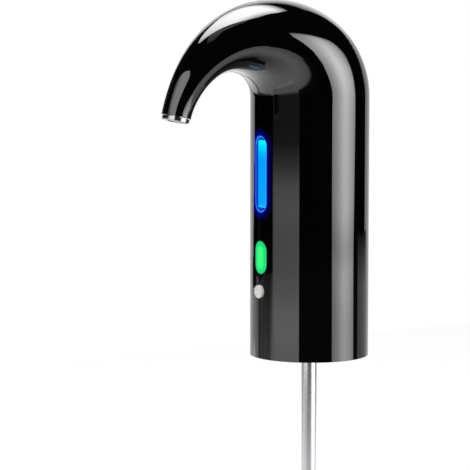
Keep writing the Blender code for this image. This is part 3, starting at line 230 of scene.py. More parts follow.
def card(name, azimuth, distance, corners, strength, across=(), up=(), elevation=0, roll=0, darken=False):
    """A card facing the body, with its corners and the shares of its light in metres on its face."""
    towards = direction(VIEW_AZIMUTH + math.radians(azimuth), math.radians(elevation))
    bpy.ops.object.select_all(action="DESELECT")
    bpy.ops.mesh.primitive_circle_add(vertices=len(corners), fill_type="NGON")
    board = bpy.context.object
    board.name = name
    for point, (x, y) in zip(board.data.vertices, corners):
        point.co = (x, y, 0)
    facing = towards.to_track_quat("Z", "Y") @ Quaternion((0, 0, 1), math.radians(roll))
    board.rotation_euler = facing.to_euler()
    board.location = towards * distance
    paint, tree, lit, parts = light_paint(name, strength)
    shares = [ramp_over(tree, parts.outputs[axis], stops) for axis, stops in (("X", across), ("Y", up)) if stops]
    if shares:
        share = worked_out(tree, "MULTIPLY", *shares) if len(shares) == 2 else shares[0]
        factor, rest = (-strength, strength) if darken else (strength, 0)
        tree.links.new(worked_out(tree, "MULTIPLY_ADD", share, factor, rest), lit.inputs["Strength"])
    board.data.materials.append(paint)
    hide_from_lens(board)
    return board


card("softbox_left", -46, 0.18, oblong(-0.087, 0.088, -0.034, 0.13), 2.6,
     across=((-0.087, 0.6), (-0.076, 0.8), (-0.06, 0.92), (0.0, 0.97), (0.088, 1.0)),
     up=((-0.034, 0.88), (-0.022, 0.9), (-0.01, 0.99), (0.002, 0.93), (0.014, 0.74), (0.026, 0.62), (0.038, 0.58),
         (0.05, 0.58), (0.062, 0.65), (0.074, 0.56), (0.086, 0.26), (0.098, 0.08), (0.11, 0.06), (0.13, 0.06)))
card("softbox_right", 66, 1.0,
     ((-0.75, -0.26), (0.52, -0.26), (0.48, -0.07), (0.555, 0.07), (0.54, 0.2), (0.60, 0.42), (0.64, 0.62),
      (0.58, 0.74), (0.40, 0.81), (-0.38, 0.82), (-0.40, 0.6), (-0.37, 0.42), (-0.355, 0.28), (-0.39, 0.15),
      (-0.455, 0.08), (-0.455, 0.0), (-0.43, -0.2), (-0.75, -0.22)), 13.0,
     across=((-0.75, 0.35), (-0.455, 0.4), (-0.385, 0.46), (-0.315, 0.53), (-0.245, 0.6), (-0.175, 0.7),
             (-0.105, 0.82), (-0.035, 0.93), (0.035, 1.0), (0.105, 0.97), (0.175, 0.87), (0.245, 0.78),
             (0.315, 0.69), (0.385, 0.58), (0.455, 0.49), (0.525, 0.36), (0.6, 0.28), (0.64, 0.12)),
     up=((-0.26, 0.45), (-0.2, 0.5), (-0.12, 0.51), (-0.085, 0.6), (-0.07, 0.6), (-0.055, 0.5), (-0.045, 0.51),
         (-0.03, 0.6), (-0.015, 0.69), (0.0, 0.72), (0.05, 0.76), (0.1, 0.82), (0.15, 0.89), (0.245, 0.96),
         (0.35, 1.0), (0.455, 0.94), (0.6, 0.84), (0.7, 0.72), (0.75, 0.6), (0.79, 0.3), (0.82, 0.02)))
card("softbox_spout", -42, 1.0,
     ((-0.42, -0.45), (0.419, -0.446), (0.355, -0.278), (0.276, -0.044), (0.145, 0.204), (-0.015, 0.41),
      (-0.233, 0.621), (-0.42, 0.7)), 4.2,
     across=((-0.42, 0.04), (-0.366, 0.12), (-0.3, 0.28), (-0.233, 0.5), (-0.16, 0.75), (-0.09, 0.96), (0.0, 1.0),
             (0.42, 1.0)), elevation=27, roll=35.5)
card("back_light", 180, 1.25, oblong(-0.6, 0.6, 0.48, 1.1), 1.6)
card("back_right", 150.5, 1.28, oblong(-0.46, 0.46, FLOOR_HEIGHT, 0.45), 0.85)
card("table_left_far", -112, 1.1, oblong(-0.25, 0.25, FLOOR_HEIGHT, -0.09), 1.1,
     across=((-0.25, 1.0), (0.03, 0.42), (0.25, 0.4)),
     up=((FLOOR_HEIGHT, 1.0), (-0.16, 1.0), (-0.118, 0.75), (-0.09, 0.6)))
card("table_left", -87, 1.15, oblong(-0.26, 0.3, FLOOR_HEIGHT, -0.09), 2.2,
     across=((-0.26, 0.27), (0.05, 0.27), (0.14, 0.5), (0.216, 1.0), (0.3, 1.0)),
     up=((FLOOR_HEIGHT, 1.0), (-0.172, 1.0), (-0.147, 0.75), (-0.13, 0.62), (-0.113, 0.42), (-0.09, 0.25)))
card("table_right", 122, 1.1, oblong(-0.34, 0.34, FLOOR_HEIGHT, -0.045), 0.62,
     up=((FLOOR_HEIGHT, 1.0), (-0.1, 1.0), (-0.045, 0.05)))


CARD_STEP, TABLE_STRENGTH = 0.001, 1.95


def lying_card(name, corners, height, strength, turn=0.0, **shares):
    """A card that lies level over or under the aerator."""
    board = card(name, 0, 0, corners, strength, **shares)
    board.rotation_euler = (0, 0, turn)
    board.location = (0, 0, height)


lying_card("softbox_top",
           ((-1.1, 0.36), (-1.08, 0.2), (-0.95, 0.05), (-0.87, -0.13), (-0.78, -0.25), (-0.65, -0.36),
            (-0.52, -0.39), (-0.36, -0.31), (-0.24, -0.25), (-0.13, -0.19), (-0.02, -0.12), (0.05, -0.05),
            (0.085, 0.03), (0.03, 0.15), (0.0, 0.25), (-0.1, 0.36)), 0.87, 16.5,
           across=((-1.1, 0.18), (-1.0, 0.25), (-0.87, 0.35), (-0.72, 0.44), (-0.63, 0.54), (-0.54, 0.6),
                   (-0.45, 0.68), (-0.36, 0.77), (-0.27, 0.86), (-0.18, 0.96), (-0.13, 1.0), (-0.07, 0.88),
                   (0.0, 0.66), (0.05, 0.4), (0.085, 0.1)),
           up=((-0.39, 0.25), (-0.36, 0.5), (-0.3, 0.75), (-0.24, 0.87), (-0.15, 0.97), (-0.08, 1.0), (0.0, 0.98),
               (0.06, 0.93), (0.12, 0.88), (0.18, 0.86), (0.24, 0.78), (0.3, 0.42), (0.36, 0.06)))
lying_card("softbox_top_fringe",
           ((-0.36, -0.31), (-0.25, -0.4), (-0.12, -0.48), (0.02, -0.44), (-0.05, -0.3), (0.04, -0.2), (0.09, -0.1),
            (0.05, -0.05), (-0.13, -0.15)), 0.872, 1.0, up=((-0.48, 0.4), (-0.3, 0.9), (-0.05, 1.0)))
lying_card("table_light", oblong(-TENT_RADIUS, TENT_RADIUS, -TENT_RADIUS, TENT_RADIUS), FLOOR_HEIGHT + CARD_STEP,
           TABLE_STRENGTH, turn=VIEW_AZIMUTH,
           up=((-TENT_RADIUS, 0.0), (-1.15, 0.05), (-1.06, 0.28), (-0.98, 0.62), (-0.9, 0.73), (-0.75, 0.8),
               (-0.55, 0.97), (-0.4, 1.0), (TENT_RADIUS, 1.0)))
lying_card("table_dusk", oblong(-0.15, 0.85, -0.5, 0.08), FLOOR_HEIGHT + 2 * CARD_STEP, TABLE_STRENGTH,
           turn=VIEW_AZIMUTH, darken=True,
           across=((-0.15, 0.0), (-0.05, 0.25), (0.0, 0.43), (0.05, 0.6), (0.1, 0.9), (0.15, 1.0), (0.25, 0.9),
                   (0.35, 0.7), (0.5, 0.5), (0.85, 0.5)),
           up=((-0.5, 0.0), (-0.425, 0.07), (-0.375, 0.2), (-0.325, 0.33), (-0.275, 0.42), (-0.225, 0.54),
               (-0.175, 0.74), (-0.125, 0.92), (-0.1, 1.0), (0.0, 1.0), (0.08, 0.0)))
lying_card("table_shade",
           ((0.055, -0.1), (0.48, -0.1), (0.5, 0.0), (0.48, 0.3), (-0.03, 0.3), (-0.03, 0.12), (0.0, 0.0)),
           FLOOR_HEIGHT + 3 * CARD_STEP, 0.05, turn=VIEW_AZIMUTH)

LAMP_SIZE = 0.8
LAMPS = (("lamp_right", 70, 30, 1.4, 9.0), ("lamp_left", -50, 35, 1.4, 7.0), ("lamp_back", 180, 40, 1.4, 5.0))
for name, azimuth, elevation, distance, watts in LAMPS:
    towards = direction(VIEW_AZIMUTH + math.radians(azimuth), math.radians(elevation))
    bpy.ops.object.light_add(type="AREA", location=Vector((0, 0, TENT_MIDDLE)) + towards * distance)
    lamp = bpy.context.object
    lamp.name = name
    lamp.rotation_euler = towards.to_track_quat("Z", "Y").to_euler()
    lamp.data.shape = "DISK"
    lamp.data.size = LAMP_SIZE
    lamp.data.energy = watts
    lamp.visible_glossy = False


# Half shells. Two injection-moulded halves in piano-black ABS, polished to full gloss, meet
# on the middle plane, where the left half's tongue enters the right half's groove.
BODY_RADIUS = 0.030
SHELL_WALL = 0.0022
SEAM_GAP = 0.0008
BEND_START = 0.1305
TOP_HEIGHT = 0.1789
TOP_REACH = 0.0218
TOP_EASE = 0.0355
ARCH_HEIGHT = 0.1432
ARCH_REACH = 0.0480
ARCH_EASE = 0.0144
TIP_RADIUS = 0.0073
TIP_LEAN = math.radians(13)
TIP_OUTER_EASE = 0.0267
TIP_INNER_EASE = 0.0088
TIP = Vector((0, -0.0784, 0.1221))
FLOW = Vector((0, -math.sin(TIP_LEAN), -math.cos(TIP_LEAN)))
TIP_SIDE = Vector((0, -math.cos(TIP_LEAN), math.sin(TIP_LEAN)))
SHELL_SIDES, FINE_SIDES = 160, 96
STRAIGHT_RINGS, BEND_RINGS, FALL_RINGS, FOOT_BAND = 24, 30, 34, 0.0006
TONGUE_INSET, TONGUE_WALL, TONGUE_ROOT, TONGUE_REACH = 0.0013, 0.00085, -0.0006, 0.0012
GROOVE_INSET, GROOVE_WALL, GROOVE_REACH = 0.0010, 0.0015, 0.0015
SEAM_ROUND, SEAM_ROUND_STEPS = 0.00032, 4
WINDOW_HEIGHT, WINDOW_LENGTH, WINDOW_WIDTH = 0.0925, 0.0385, 0.0109
POUR_HEIGHT, POUR_LENGTH, POUR_WIDTH = 0.0509, 0.0167, 0.0103
POWER_HEIGHT, POWER_RADIUS = 0.0338, 0.00338
BUTTON_GAP = 0.0003
CHARGE_HEIGHT, CHARGE_WIDTH, CHARGE_THICKNESS = 0.0460, 0.0096, 0.0039
OUTSIDE, INSIDE = -0.033, -0.0248


def finish(name, colour, rough, metallic=0.0, drift=0.02, grain=900.0, height=0.0, stretch=(1, 1, 1), tint=0.0):
    """A surface with its roughness drifting by a share, a grain per metre and a grain height."""
    material = bpy.data.materials.new(name)
    material.use_nodes = True
    tree = material.node_tree
    skin = tree.nodes["Principled BSDF"]
    skin.inputs["Base Color"].default_value = (*colour, 1)
    skin.inputs["Metallic"].default_value = metallic
    place = tree.nodes.new("ShaderNodeTexCoord")
    turn = tree.nodes.new("ShaderNodeMapping")
    turn.inputs["Scale"].default_value = stretch
    tree.links.new(place.outputs["Object"], turn.inputs["Vector"])
    cloud = tree.nodes.new("ShaderNodeTexNoise")
    cloud.inputs["Scale"].default_value = grain
    cloud.inputs["Detail"].default_value = 3.0
    tree.links.new(turn.outputs["Vector"], cloud.inputs["Vector"])
    spread = ranged(tree, cloud.outputs["Fac"], 0, 1, max(0.0, rough - drift), rough + drift)
    tree.links.new(spread, skin.inputs["Roughness"])
    if height:
        relief = tree.nodes.new("ShaderNodeBump")
        relief.inputs["Strength"].default_value = 1.0
        relief.inputs["Distance"].default_value = height
        tree.links.new(cloud.outputs["Fac"], relief.inputs["Height"])
        tree.links.new(relief.outputs["Normal"], skin.inputs["Normal"])
    if tint:
        shade_mix = tree.nodes.new("ShaderNodeMix")
        shade_mix.data_type = "RGBA"
        shade_mix.inputs["A"].default_value = (*colour, 1)
        shade_mix.inputs["B"].default_value = (*(part * (1 - tint) for part in colour), 1)
        tree.links.new(cloud.outputs["Fac"], shade_mix.inputs["Factor"])
        tree.links.new(shade_mix.outputs["Result"], skin.inputs["Base Color"])
    return material


def neck_sections():
    """Each section's centre and the vector from it to the front line, from base to spout."""
    heights = [0, FOOT_BAND] + [BEND_START * step / STRAIGHT_RINGS for step in range(1, STRAIGHT_RINGS)]
    back = [Vector((0, BODY_RADIUS, height)) for height in heights]
    front = [Vector((0, -BODY_RADIUS, point.z)) for point in back]
    for step in range(BEND_RINGS + 1):
        turn = math.radians(90) * step / BEND_RINGS
        over = TOP_REACH - (TOP_REACH + BODY_RADIUS) * math.cos(turn)
        under = ARCH_REACH - (ARCH_REACH - BODY_RADIUS) * math.cos(turn)
        back.append(Vector((0, -over, BEND_START + (TOP_HEIGHT - BEND_START) * math.sin(turn))))
        front.append(Vector((0, -under, BEND_START + (ARCH_HEIGHT - BEND_START) * math.sin(turn))))
    for line, ease, side, tip_ease in ((back, TOP_EASE, 1, TIP_OUTER_EASE), (front, ARCH_EASE, -1, TIP_INNER_EASE)):
        crest = line[-1]
        tip = TIP + TIP_SIDE * TIP_RADIUS * side
        fall = interpolate_bezier(crest, crest - Vector((0, ease, 0)), tip - FLOW * tip_ease, tip, FALL_RINGS + 1)
        line.extend(fall[1:])
    return [((far + near) / 2, (near - far) / 2) for far, near in zip(back, front)]


def only(piece):
    """Selects one piece and makes it the active one."""
    bpy.ops.object.select_all(action="DESELECT")
    piece.select_set(True)
    bpy.context.view_layer.objects.active = piece


def loft(name, inset):
    """A skin bridged through one circle for each section, drawn in by an inset."""
    bpy.ops.object.select_all(action="DESELECT")
    for number, (centre, half) in enumerate(neck_sections()):
        bpy.ops.mesh.primitive_circle_add(vertices=SHELL_SIDES, radius=half.length - inset, location=centre,
                                          rotation=(math.atan2(half.z, half.y), 0, 0))
        if number == 0:
            skin = bpy.context.object
            skin.name = name
            bpy.ops.object.mode_set(mode="EDIT")
    bpy.ops.mesh.select_all(action="SELECT")
    bpy.ops.mesh.bridge_edge_loops()
    bpy.ops.mesh.select_all(action="SELECT")
    bpy.ops.mesh.normals_make_consistent(inside=False)
    bpy.ops.object.mode_set(mode="OBJECT")
    bpy.ops.object.transform_apply()
    return skin


def slice_off(piece, across, side):
    """Cuts a piece on a plane across X and drops what lies on one side of it."""
    only(piece)
    bpy.ops.object.mode_set(mode="EDIT")
    bpy.ops.mesh.select_all(action="SELECT")
    bpy.ops.mesh.bisect(plane_co=(across, 0, 0), plane_no=(1, 0, 0), clear_outer=side > 0, clear_inner=side < 0)
    bpy.ops.object.mode_set(mode="OBJECT")


def apply_last(piece):
    """Applies the modifier that was added last."""
    bpy.ops.object.modifier_apply(modifier=piece.modifiers[-1].name)


def thicken(piece, wall):
    """Gives a skin its wall, inwards."""
    only(piece)
    bpy.ops.object.modifier_add(type="SOLIDIFY")
    piece.modifiers[-1].thickness = wall
    piece.modifiers[-1].offset = -1
    piece.modifiers[-1].use_even_offset = True
    apply_last(piece)


def carve(piece, tool, operation="DIFFERENCE"):
    """Applies a Boolean of a piece with a tool, which is then removed."""
    only(piece)
    bpy.ops.object.modifier_add(type="BOOLEAN")
    piece.modifiers[-1].operation = operation
    piece.modifiers[-1].object = tool
    apply_last(piece)
    bpy.data.objects.remove(tool, do_unlink=True)


def soften(piece, width, degrees=35, segments=2, harden=True):
    """Shades a piece smooth up to an angle, and rounds its sharper edges by a width above zero."""
    only(piece)
    bpy.ops.object.shade_smooth_by_angle(angle=math.radians(degrees))
    if width:
        bpy.ops.object.modifier_add(type="BEVEL")
        piece.modifiers[-1].width = width
        piece.modifiers[-1].segments = segments
        piece.modifiers[-1].angle_limit = math.radians(degrees)
        piece.modifiers[-1].miter_outer = "MITER_ARC"
        piece.modifiers[-1].harden_normals = harden
        apply_last(piece)


def gather(pieces):
    """Joins pieces into the first one."""
    bpy.ops.object.select_all(action="DESELECT")
    for piece in pieces:
        piece.select_set(True)
    bpy.context.view_layer.objects.active = pieces[0]
    if len(pieces) > 1:
        bpy.ops.object.join()
    return pieces[0]


def round_ended(name, length, width, front, back, height, lying=False, sides=FINE_SIDES):
    """A bar with round ends from a front to a back depth, drawn out of a parted circle."""
    bpy.ops.object.select_all(action="DESELECT")
    bpy.ops.mesh.primitive_circle_add(vertices=sides, radius=width / 2, fill_type="NGON",
                                      rotation=(0, 0, math.pi / sides))
    bar = bpy.context.object
    bar.name = name
    bpy.ops.object.transform_apply()
    shift = (length - width) / 2
    bpy.ops.object.mode_set(mode="EDIT")
    bpy.ops.mesh.select_mode(type="VERT")
    bpy.ops.mesh.select_all(action="DESELECT")
    bpy.ops.object.mode_set(mode="OBJECT")
    for corner in bar.data.vertices:
        corner.select = corner.co.y > 0
    bpy.ops.object.mode_set(mode="EDIT")
    bpy.ops.transform.translate(value=(0, 2 * shift, 0))
    bpy.ops.mesh.select_all(action="SELECT")
    bpy.ops.transform.translate(value=(0, -shift, 0))
    bpy.ops.mesh.extrude_region_move(TRANSFORM_OT_translate={"value": (0, 0, back - front)})
    bpy.ops.mesh.select_all(action="SELECT")
    bpy.ops.mesh.normals_make_consistent(inside=False)
    bpy.ops.object.mode_set(mode="OBJECT")
    bar.rotation_euler = (math.radians(90), math.radians(90) if lying else 0, 0)
    bar.location = (0, back, height)
    bpy.ops.object.transform_apply()
    return bar


def stand_for(piece, node, body, material):
    """Gives a finished piece its material and its body, and hides the node that it replaces."""
    piece.data.materials.clear()
    piece.data.materials.append(material)
    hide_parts(node)
    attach(piece, body)


def light_up(material, centre, straight, stops, weights=(1, 1, 1), strength=1.0):
    """Makes a material give off light, coloured by the distance from an upright line."""
    tree = material.node_tree
    place = tree.nodes.new("ShaderNodeTexCoord").outputs["Object"]
    for operation, value in (("SUBTRACT", centre), ("MULTIPLY", weights)):
        place = worked_out(tree, operation, place, value, kind="ShaderNodeVectorMath")
    parts = tree.nodes.new("ShaderNodeSeparateXYZ")
    tree.links.new(place, parts.inputs[0])
    along = worked_out(tree, "ABSOLUTE", parts.outputs["Z"])
    along = worked_out(tree, "SUBTRACT", along, straight / 2)
    along = worked_out(tree, "MAXIMUM", along, 0)
    joined = tree.nodes.new("ShaderNodeCombineXYZ")
    for axis, output in (("X", parts.outputs["X"]), ("Y", parts.outputs["Y"]), ("Z", along)):
        tree.links.new(output, joined.inputs[axis])
    gap = worked_out(tree, "LENGTH", joined.outputs["Vector"], kind="ShaderNodeVectorMath", output=1)
    skin = tree.nodes["Principled BSDF"]
    tree.links.new(ramp_over(tree, gap, stops), skin.inputs["Emission Color"])
    skin.inputs["Emission Strength"].default_value = strength


piano_black_painted_glow = finish("piano_black_painted_glow", (0.0010, 0.0010, 0.0011), 0.03, drift=0.01, grain=60)
# The shell's black gives off a blue glow round the window opening. It is strongest at the opening's edge and gone
# about a centimetre from its middle line: a painted glow of the window's light on the plastic.
light_up(piano_black_painted_glow, (0, -BODY_RADIUS, WINDOW_HEIGHT), WINDOW_LENGTH - WINDOW_WIDTH,
         ((0.0053, 0, 0, 0.30), (0.0059, 0, 0, 0.20), (0.0068, 0, 0, 0.105), (0.0078, 0, 0, 0.045),
          (0.0088, 0, 0, 0.015), (0.0098, 0, 0, 0)))
for word, side in (("left", -1), ("right", 1)):
    shell = loft(f"{word}_shell_gloss", 0)
    slice_off(shell, side * SEAM_GAP / 2, -side)
    thicken(shell, SHELL_WALL)
    soften(shell, SEAM_ROUND, segments=SEAM_ROUND_STEPS, harden=False)
    inset, wall, root, reach = (TONGUE_INSET, TONGUE_WALL, TONGUE_ROOT, TONGUE_REACH) if side < 0 else (
        GROOVE_INSET, GROOVE_WALL, TONGUE_ROOT, GROOVE_REACH)
    strip = loft("seam_strip", inset)
    slice_off(strip, root, -1)
    slice_off(strip, reach, 1)
    thicken(strip, wall)
    carve(shell, strip, "UNION" if side < 0 else "DIFFERENCE")
    tools = [
        round_ended("window_cut", WINDOW_LENGTH, WINDOW_WIDTH, OUTSIDE, INSIDE, WINDOW_HEIGHT),
        round_ended("pour_cut", POUR_LENGTH + 2 * BUTTON_GAP, POUR_WIDTH + 2 * BUTTON_GAP, OUTSIDE, INSIDE,
                    POUR_HEIGHT),
        round_ended("power_cut", 2 * (POWER_RADIUS + BUTTON_GAP), 2 * (POWER_RADIUS + BUTTON_GAP), OUTSIDE,
                    INSIDE, POWER_HEIGHT),
        round_ended("charge_cut", CHARGE_WIDTH, CHARGE_THICKNESS, -INSIDE, -OUTSIDE, CHARGE_HEIGHT, lying=True),
    ]
    carve(shell, gather(tools))
    soften(shell, 0)
    stand_for(shell, f"{word}_shell", BODY, piano_black_painted_glow)


# Spout ring and nozzle. A turned brass ring with two fine grooves, polished and plated bright,
# is pressed into the spout's end. A moulded nozzle behind it holds the wine hose on its barbs
# and opens into a flare.
RING_OUTER, RING_INNER, RING_SPIGOT = 0.0069, 0.0040, 0.0046
RING_FRONT, RING_BACK, RING_SEAT, RING_EDGE, RING_ROUND = 0.0025, -0.0056, 0.0003, 0.0004, 0.00005
RING_GROOVES, RING_GROOVE_WIDTH, RING_GROOVE_DEPTH = (0.00155, 0.00075), 0.00035, 0.00025
NOZZLE_PLUG, NOZZLE_FRONT, NOZZLE_FLARE, NOZZLE_END = 0.0037, -0.0034, 0.0025, -0.0116
NOZZLE_BARBS, NOZZLE_ROUND = (-0.0080, -0.0098), 0.0001
STUB_BORE, STUB_RADIUS, STUB_BARB = 0.0013, 0.0018, 0.0020
SAME_POINT = 0.000005


def turned(name, profile, closed=False, place=Matrix.Identity(4), sides=FINE_SIDES):
    """A profile of radii and heights, drawn point by point and spun round the Z axis."""
    bpy.ops.object.select_all(action="DESELECT")
    bpy.ops.mesh.primitive_plane_add(size=0.001, location=(profile[0][0], 0, profile[0][1]))
    piece = bpy.context.object
    piece.name = name
    bpy.ops.object.transform_apply()
    bpy.ops.object.mode_set(mode="EDIT")
    bpy.ops.mesh.select_all(action="SELECT")
    bpy.ops.mesh.merge(type="CENTER")
    way = list(profile[1:]) + ([profile[0]] if closed else [])
    for before, after in zip(profile, way):
        bpy.ops.mesh.extrude_vertices_move(
            TRANSFORM_OT_translate={"value": (after[0] - before[0], 0, after[1] - before[1])})
    bpy.ops.mesh.select_all(action="SELECT")
    bpy.ops.mesh.remove_doubles(threshold=SAME_POINT)
    bpy.ops.mesh.spin(steps=sides, angle=math.tau, center=(0, 0, 0), axis=(0, 0, 1))
    bpy.ops.mesh.select_all(action="SELECT")
    bpy.ops.mesh.remove_doubles(threshold=SAME_POINT)
    bpy.ops.mesh.normals_make_consistent(inside=False)
    bpy.ops.object.mode_set(mode="OBJECT")
    piece.matrix_world = place
    bpy.ops.object.transform_apply()
    return piece


at_tip = Matrix.Translation(TIP) @ FLOW.to_track_quat("Z", "Y").to_matrix().to_4x4()
grooves = [(RING_OUTER - depth, low + rise) for low in RING_GROOVES for rise, depth in (
    (RING_GROOVE_WIDTH, 0), (RING_GROOVE_WIDTH, RING_GROOVE_DEPTH), (0, RING_GROOVE_DEPTH), (0, 0))]
bright_ring = finish("bright_ring", (0.23, 0.23, 0.24), 0.12, metallic=1.0, drift=0.03, grain=500)
ring = turned("spout_ring_bright", [
    (RING_OUTER - RING_EDGE, RING_FRONT), (RING_OUTER, RING_FRONT - RING_EDGE), *grooves, (RING_OUTER, RING_SEAT),
    (RING_SPIGOT, RING_SEAT), (RING_SPIGOT, RING_BACK), (RING_INNER, RING_BACK),
    (RING_INNER, RING_FRONT - RING_EDGE), (RING_INNER + RING_EDGE, RING_FRONT),
], closed=True, place=at_tip)
soften(ring, RING_ROUND)
stand_for(ring, "spout_ring", BODY, bright_ring)
grey_moulding = finish("grey_moulding", (0.10, 0.10, 0.105), 0.42, drift=0.06, grain=1500, height=0.00001)
nozzle = turned("outlet_nozzle_moulded", [
    (NOZZLE_PLUG, NOZZLE_FRONT), (NOZZLE_PLUG, RING_BACK), (STUB_RADIUS, RING_BACK),
    *((reach, barb) for barb in NOZZLE_BARBS for reach in (STUB_RADIUS, STUB_BARB)),
    (STUB_RADIUS, NOZZLE_END), (STUB_BORE, NOZZLE_END), (STUB_BORE, RING_BACK), (NOZZLE_FLARE, NOZZLE_FRONT),
], closed=True, place=at_tip)
soften(nozzle, NOZZLE_ROUND)
stand_for(nozzle, "outlet_nozzle", BODY, grey_moulding)


# Window. A clear blue moulded lens lies half a millimetre down in its opening, with a lit
# frosted edge all round, and behind it a milky light guide spreads the light of three lamps on
# the board. The lens is held by the flange behind its opening.
LENS_LENGTH, LENS_WIDTH, LENS_RIM, LENS_FACE, LENS_ROUND = 0.0380, 0.0104, 0.0005, 0.0010, 0.0001
LENS_FLANGE, LENS_BACK, FITTED_RADIUS = 0.0012, -0.0261, 0.0275
GUIDE_WIDTH, GUIDE_LENGTH, GUIDE_FRONT, GUIDE_BACK, GUIDE_ROUND = 0.0066, 0.0334, -0.0287, -0.0224, 0.0005
FOOT_WIDTH, FOOT_DROP, FOOT_DEPTH = 0.0036, 0.0012, 0.0030
LENS_SUNK, LENS_SEAM, POCKET_BACK = 0.0005, 0.00002, -0.02


def rod(name, radius, length, centre, turn=(0, 0, 0), sides=32):
    """A round bar about its centre, which stands upright unless it is turned."""
    bpy.ops.object.select_all(action="DESELECT")
    bpy.ops.mesh.primitive_cylinder_add(vertices=sides, radius=radius, depth=length, location=centre,
                                        rotation=turn)
    bar = bpy.context.object
    bar.name = name
    bpy.ops.object.transform_apply()
    return bar


def limit(radius):
    """A tall round bar that gives fronts the body's curve when a piece is kept within it."""
    return rod("body_limit", radius, BEND_START, (0, 0, BEND_START / 2), sides=2 * SHELL_SIDES)


rim = round_ended("window_rim_lit", LENS_LENGTH, LENS_WIDTH, OUTSIDE, LENS_BACK, WINDOW_HEIGHT)
carve(rim, limit(BODY_RADIUS - LENS_SUNK), "INTERSECT")
flange = round_ended("lens_flange", LENS_LENGTH + 2 * LENS_FLANGE, LENS_WIDTH + 2 * LENS_FLANGE, OUTSIDE,
                     LENS_BACK, WINDOW_HEIGHT)
carve(flange, limit(FITTED_RADIUS), "INTERSECT")
carve(rim, flange, "UNION")
carve(rim, round_ended("lens_pocket", LENS_LENGTH - 2 * LENS_RIM, LENS_WIDTH - 2 * LENS_RIM, OUTSIDE,
                       POCKET_BACK, WINDOW_HEIGHT))
soften(rim, LENS_ROUND)
lit_edge = finish("lit_edge", (0.01, 0.03, 0.10), 0.25, grain=1500)
light_up(lit_edge, (0, 0, WINDOW_HEIGHT), LENS_LENGTH - LENS_WIDTH,
         ((0.0, 0, 0.03, 0.46), (0.00472, 0, 0.03, 0.46), (0.00480, 0.06, 0.27, 0.95), (0.0053, 0.05, 0.24, 0.9)),
         weights=(1, 0, 1))
stand_for(rim, "window_lens", BODY, lit_edge)
face = round_ended("window_face_clear", LENS_LENGTH - 2 * (LENS_RIM + LENS_SEAM),
                   LENS_WIDTH - 2 * (LENS_RIM + LENS_SEAM), OUTSIDE, -(BODY_RADIUS - LENS_FACE), WINDOW_HEIGHT)
carve(face, limit(BODY_RADIUS - LENS_SUNK), "INTERSECT")
soften(face, 0)
clear_blue = finish("clear_blue", (0.80, 0.90, 1.0), 0.02, drift=0.01, grain=300)
skin = clear_blue.node_tree.nodes["Principled BSDF"]
skin.inputs["Transmission Weight"].default_value = 1.0
skin.inputs["IOR"].default_value = 1.25
stand_for(face, "window_lens", BODY, clear_blue)


def block(name, low, high, edge=0.0):
    """A block between two corners, with its edges rounded."""
    middle = [(near + far) / 2 for near, far in zip(low, high)]
    bpy.ops.object.select_all(action="DESELECT")
    bpy.ops.mesh.primitive_cube_add(size=1, location=middle,
                                    scale=[far - near for near, far in zip(low, high)])
    piece = bpy.context.object
    piece.name = name
    bpy.ops.object.transform_apply()
    if edge:
        soften(piece, edge, segments=3)
    return piece


guide_low = WINDOW_HEIGHT - GUIDE_LENGTH / 2
guide = block("light_guide_milky", (-GUIDE_WIDTH / 2, GUIDE_FRONT, guide_low),
              (GUIDE_WIDTH / 2, GUIDE_BACK, guide_low + GUIDE_LENGTH), GUIDE_ROUND)
foot = block("guide_foot", (-FOOT_WIDTH / 2, GUIDE_BACK - FOOT_DEPTH, guide_low - FOOT_DROP),
             (FOOT_WIDTH / 2, GUIDE_BACK - GUIDE_ROUND, WINDOW_HEIGHT), GUIDE_ROUND / 2)
carve(guide, foot, "UNION")
milky_blue = finish("milky_blue", (0.0, 0.015, 0.02), 0.25, grain=1500)
light_up(milky_blue, (0, 0, guide_low), 0,
         ((0.0, 0.01, 0.55, 1.0), (0.0022, 0, 0.38, 0.95), (0.012, 0, 0.37, 0.98), (0.023, 0, 0.36, 0.98),
          (0.026, 0, 0.42, 0.98), (0.0296, 0, 0.72, 0.90), (0.032, 0, 0.93, 1.0), (0.034, 0, 0.98, 1.0)),
         weights=(0, 0, 1), strength=1.1)
stand_for(guide, "light_guide", BODY, milky_blue)


# Buttons. The pour button is clear green plastic, lit from behind and sunk just below the
# body's curve, and the power button is a small white dished dot that stands proud. Both are
# moulded with a flange inside and a stem.
BUTTON_FLANGE, BUTTON_BACK = 0.0011, -0.0263
STEM_RADIUS, STEM_END, STEM_SUNK = 0.0020, -0.0250, 0.0006
POUR_SUNK, POUR_ROUND = 0.0004, 0.0002
POWER_TOP, POWER_CROWN, POWER_DISH, POWER_ROUND = 0.0312, 0.0003, 0.0002, 0.0001


def add_stem(button, height):
    """The stem that pushes the switch's plunger."""
    carve(button, rod("button_stem", STEM_RADIUS, STEM_END - BUTTON_BACK + STEM_SUNK,
                      (0, (STEM_END + BUTTON_BACK - STEM_SUNK) / 2, height), turn=(math.radians(90), 0, 0)), "UNION")


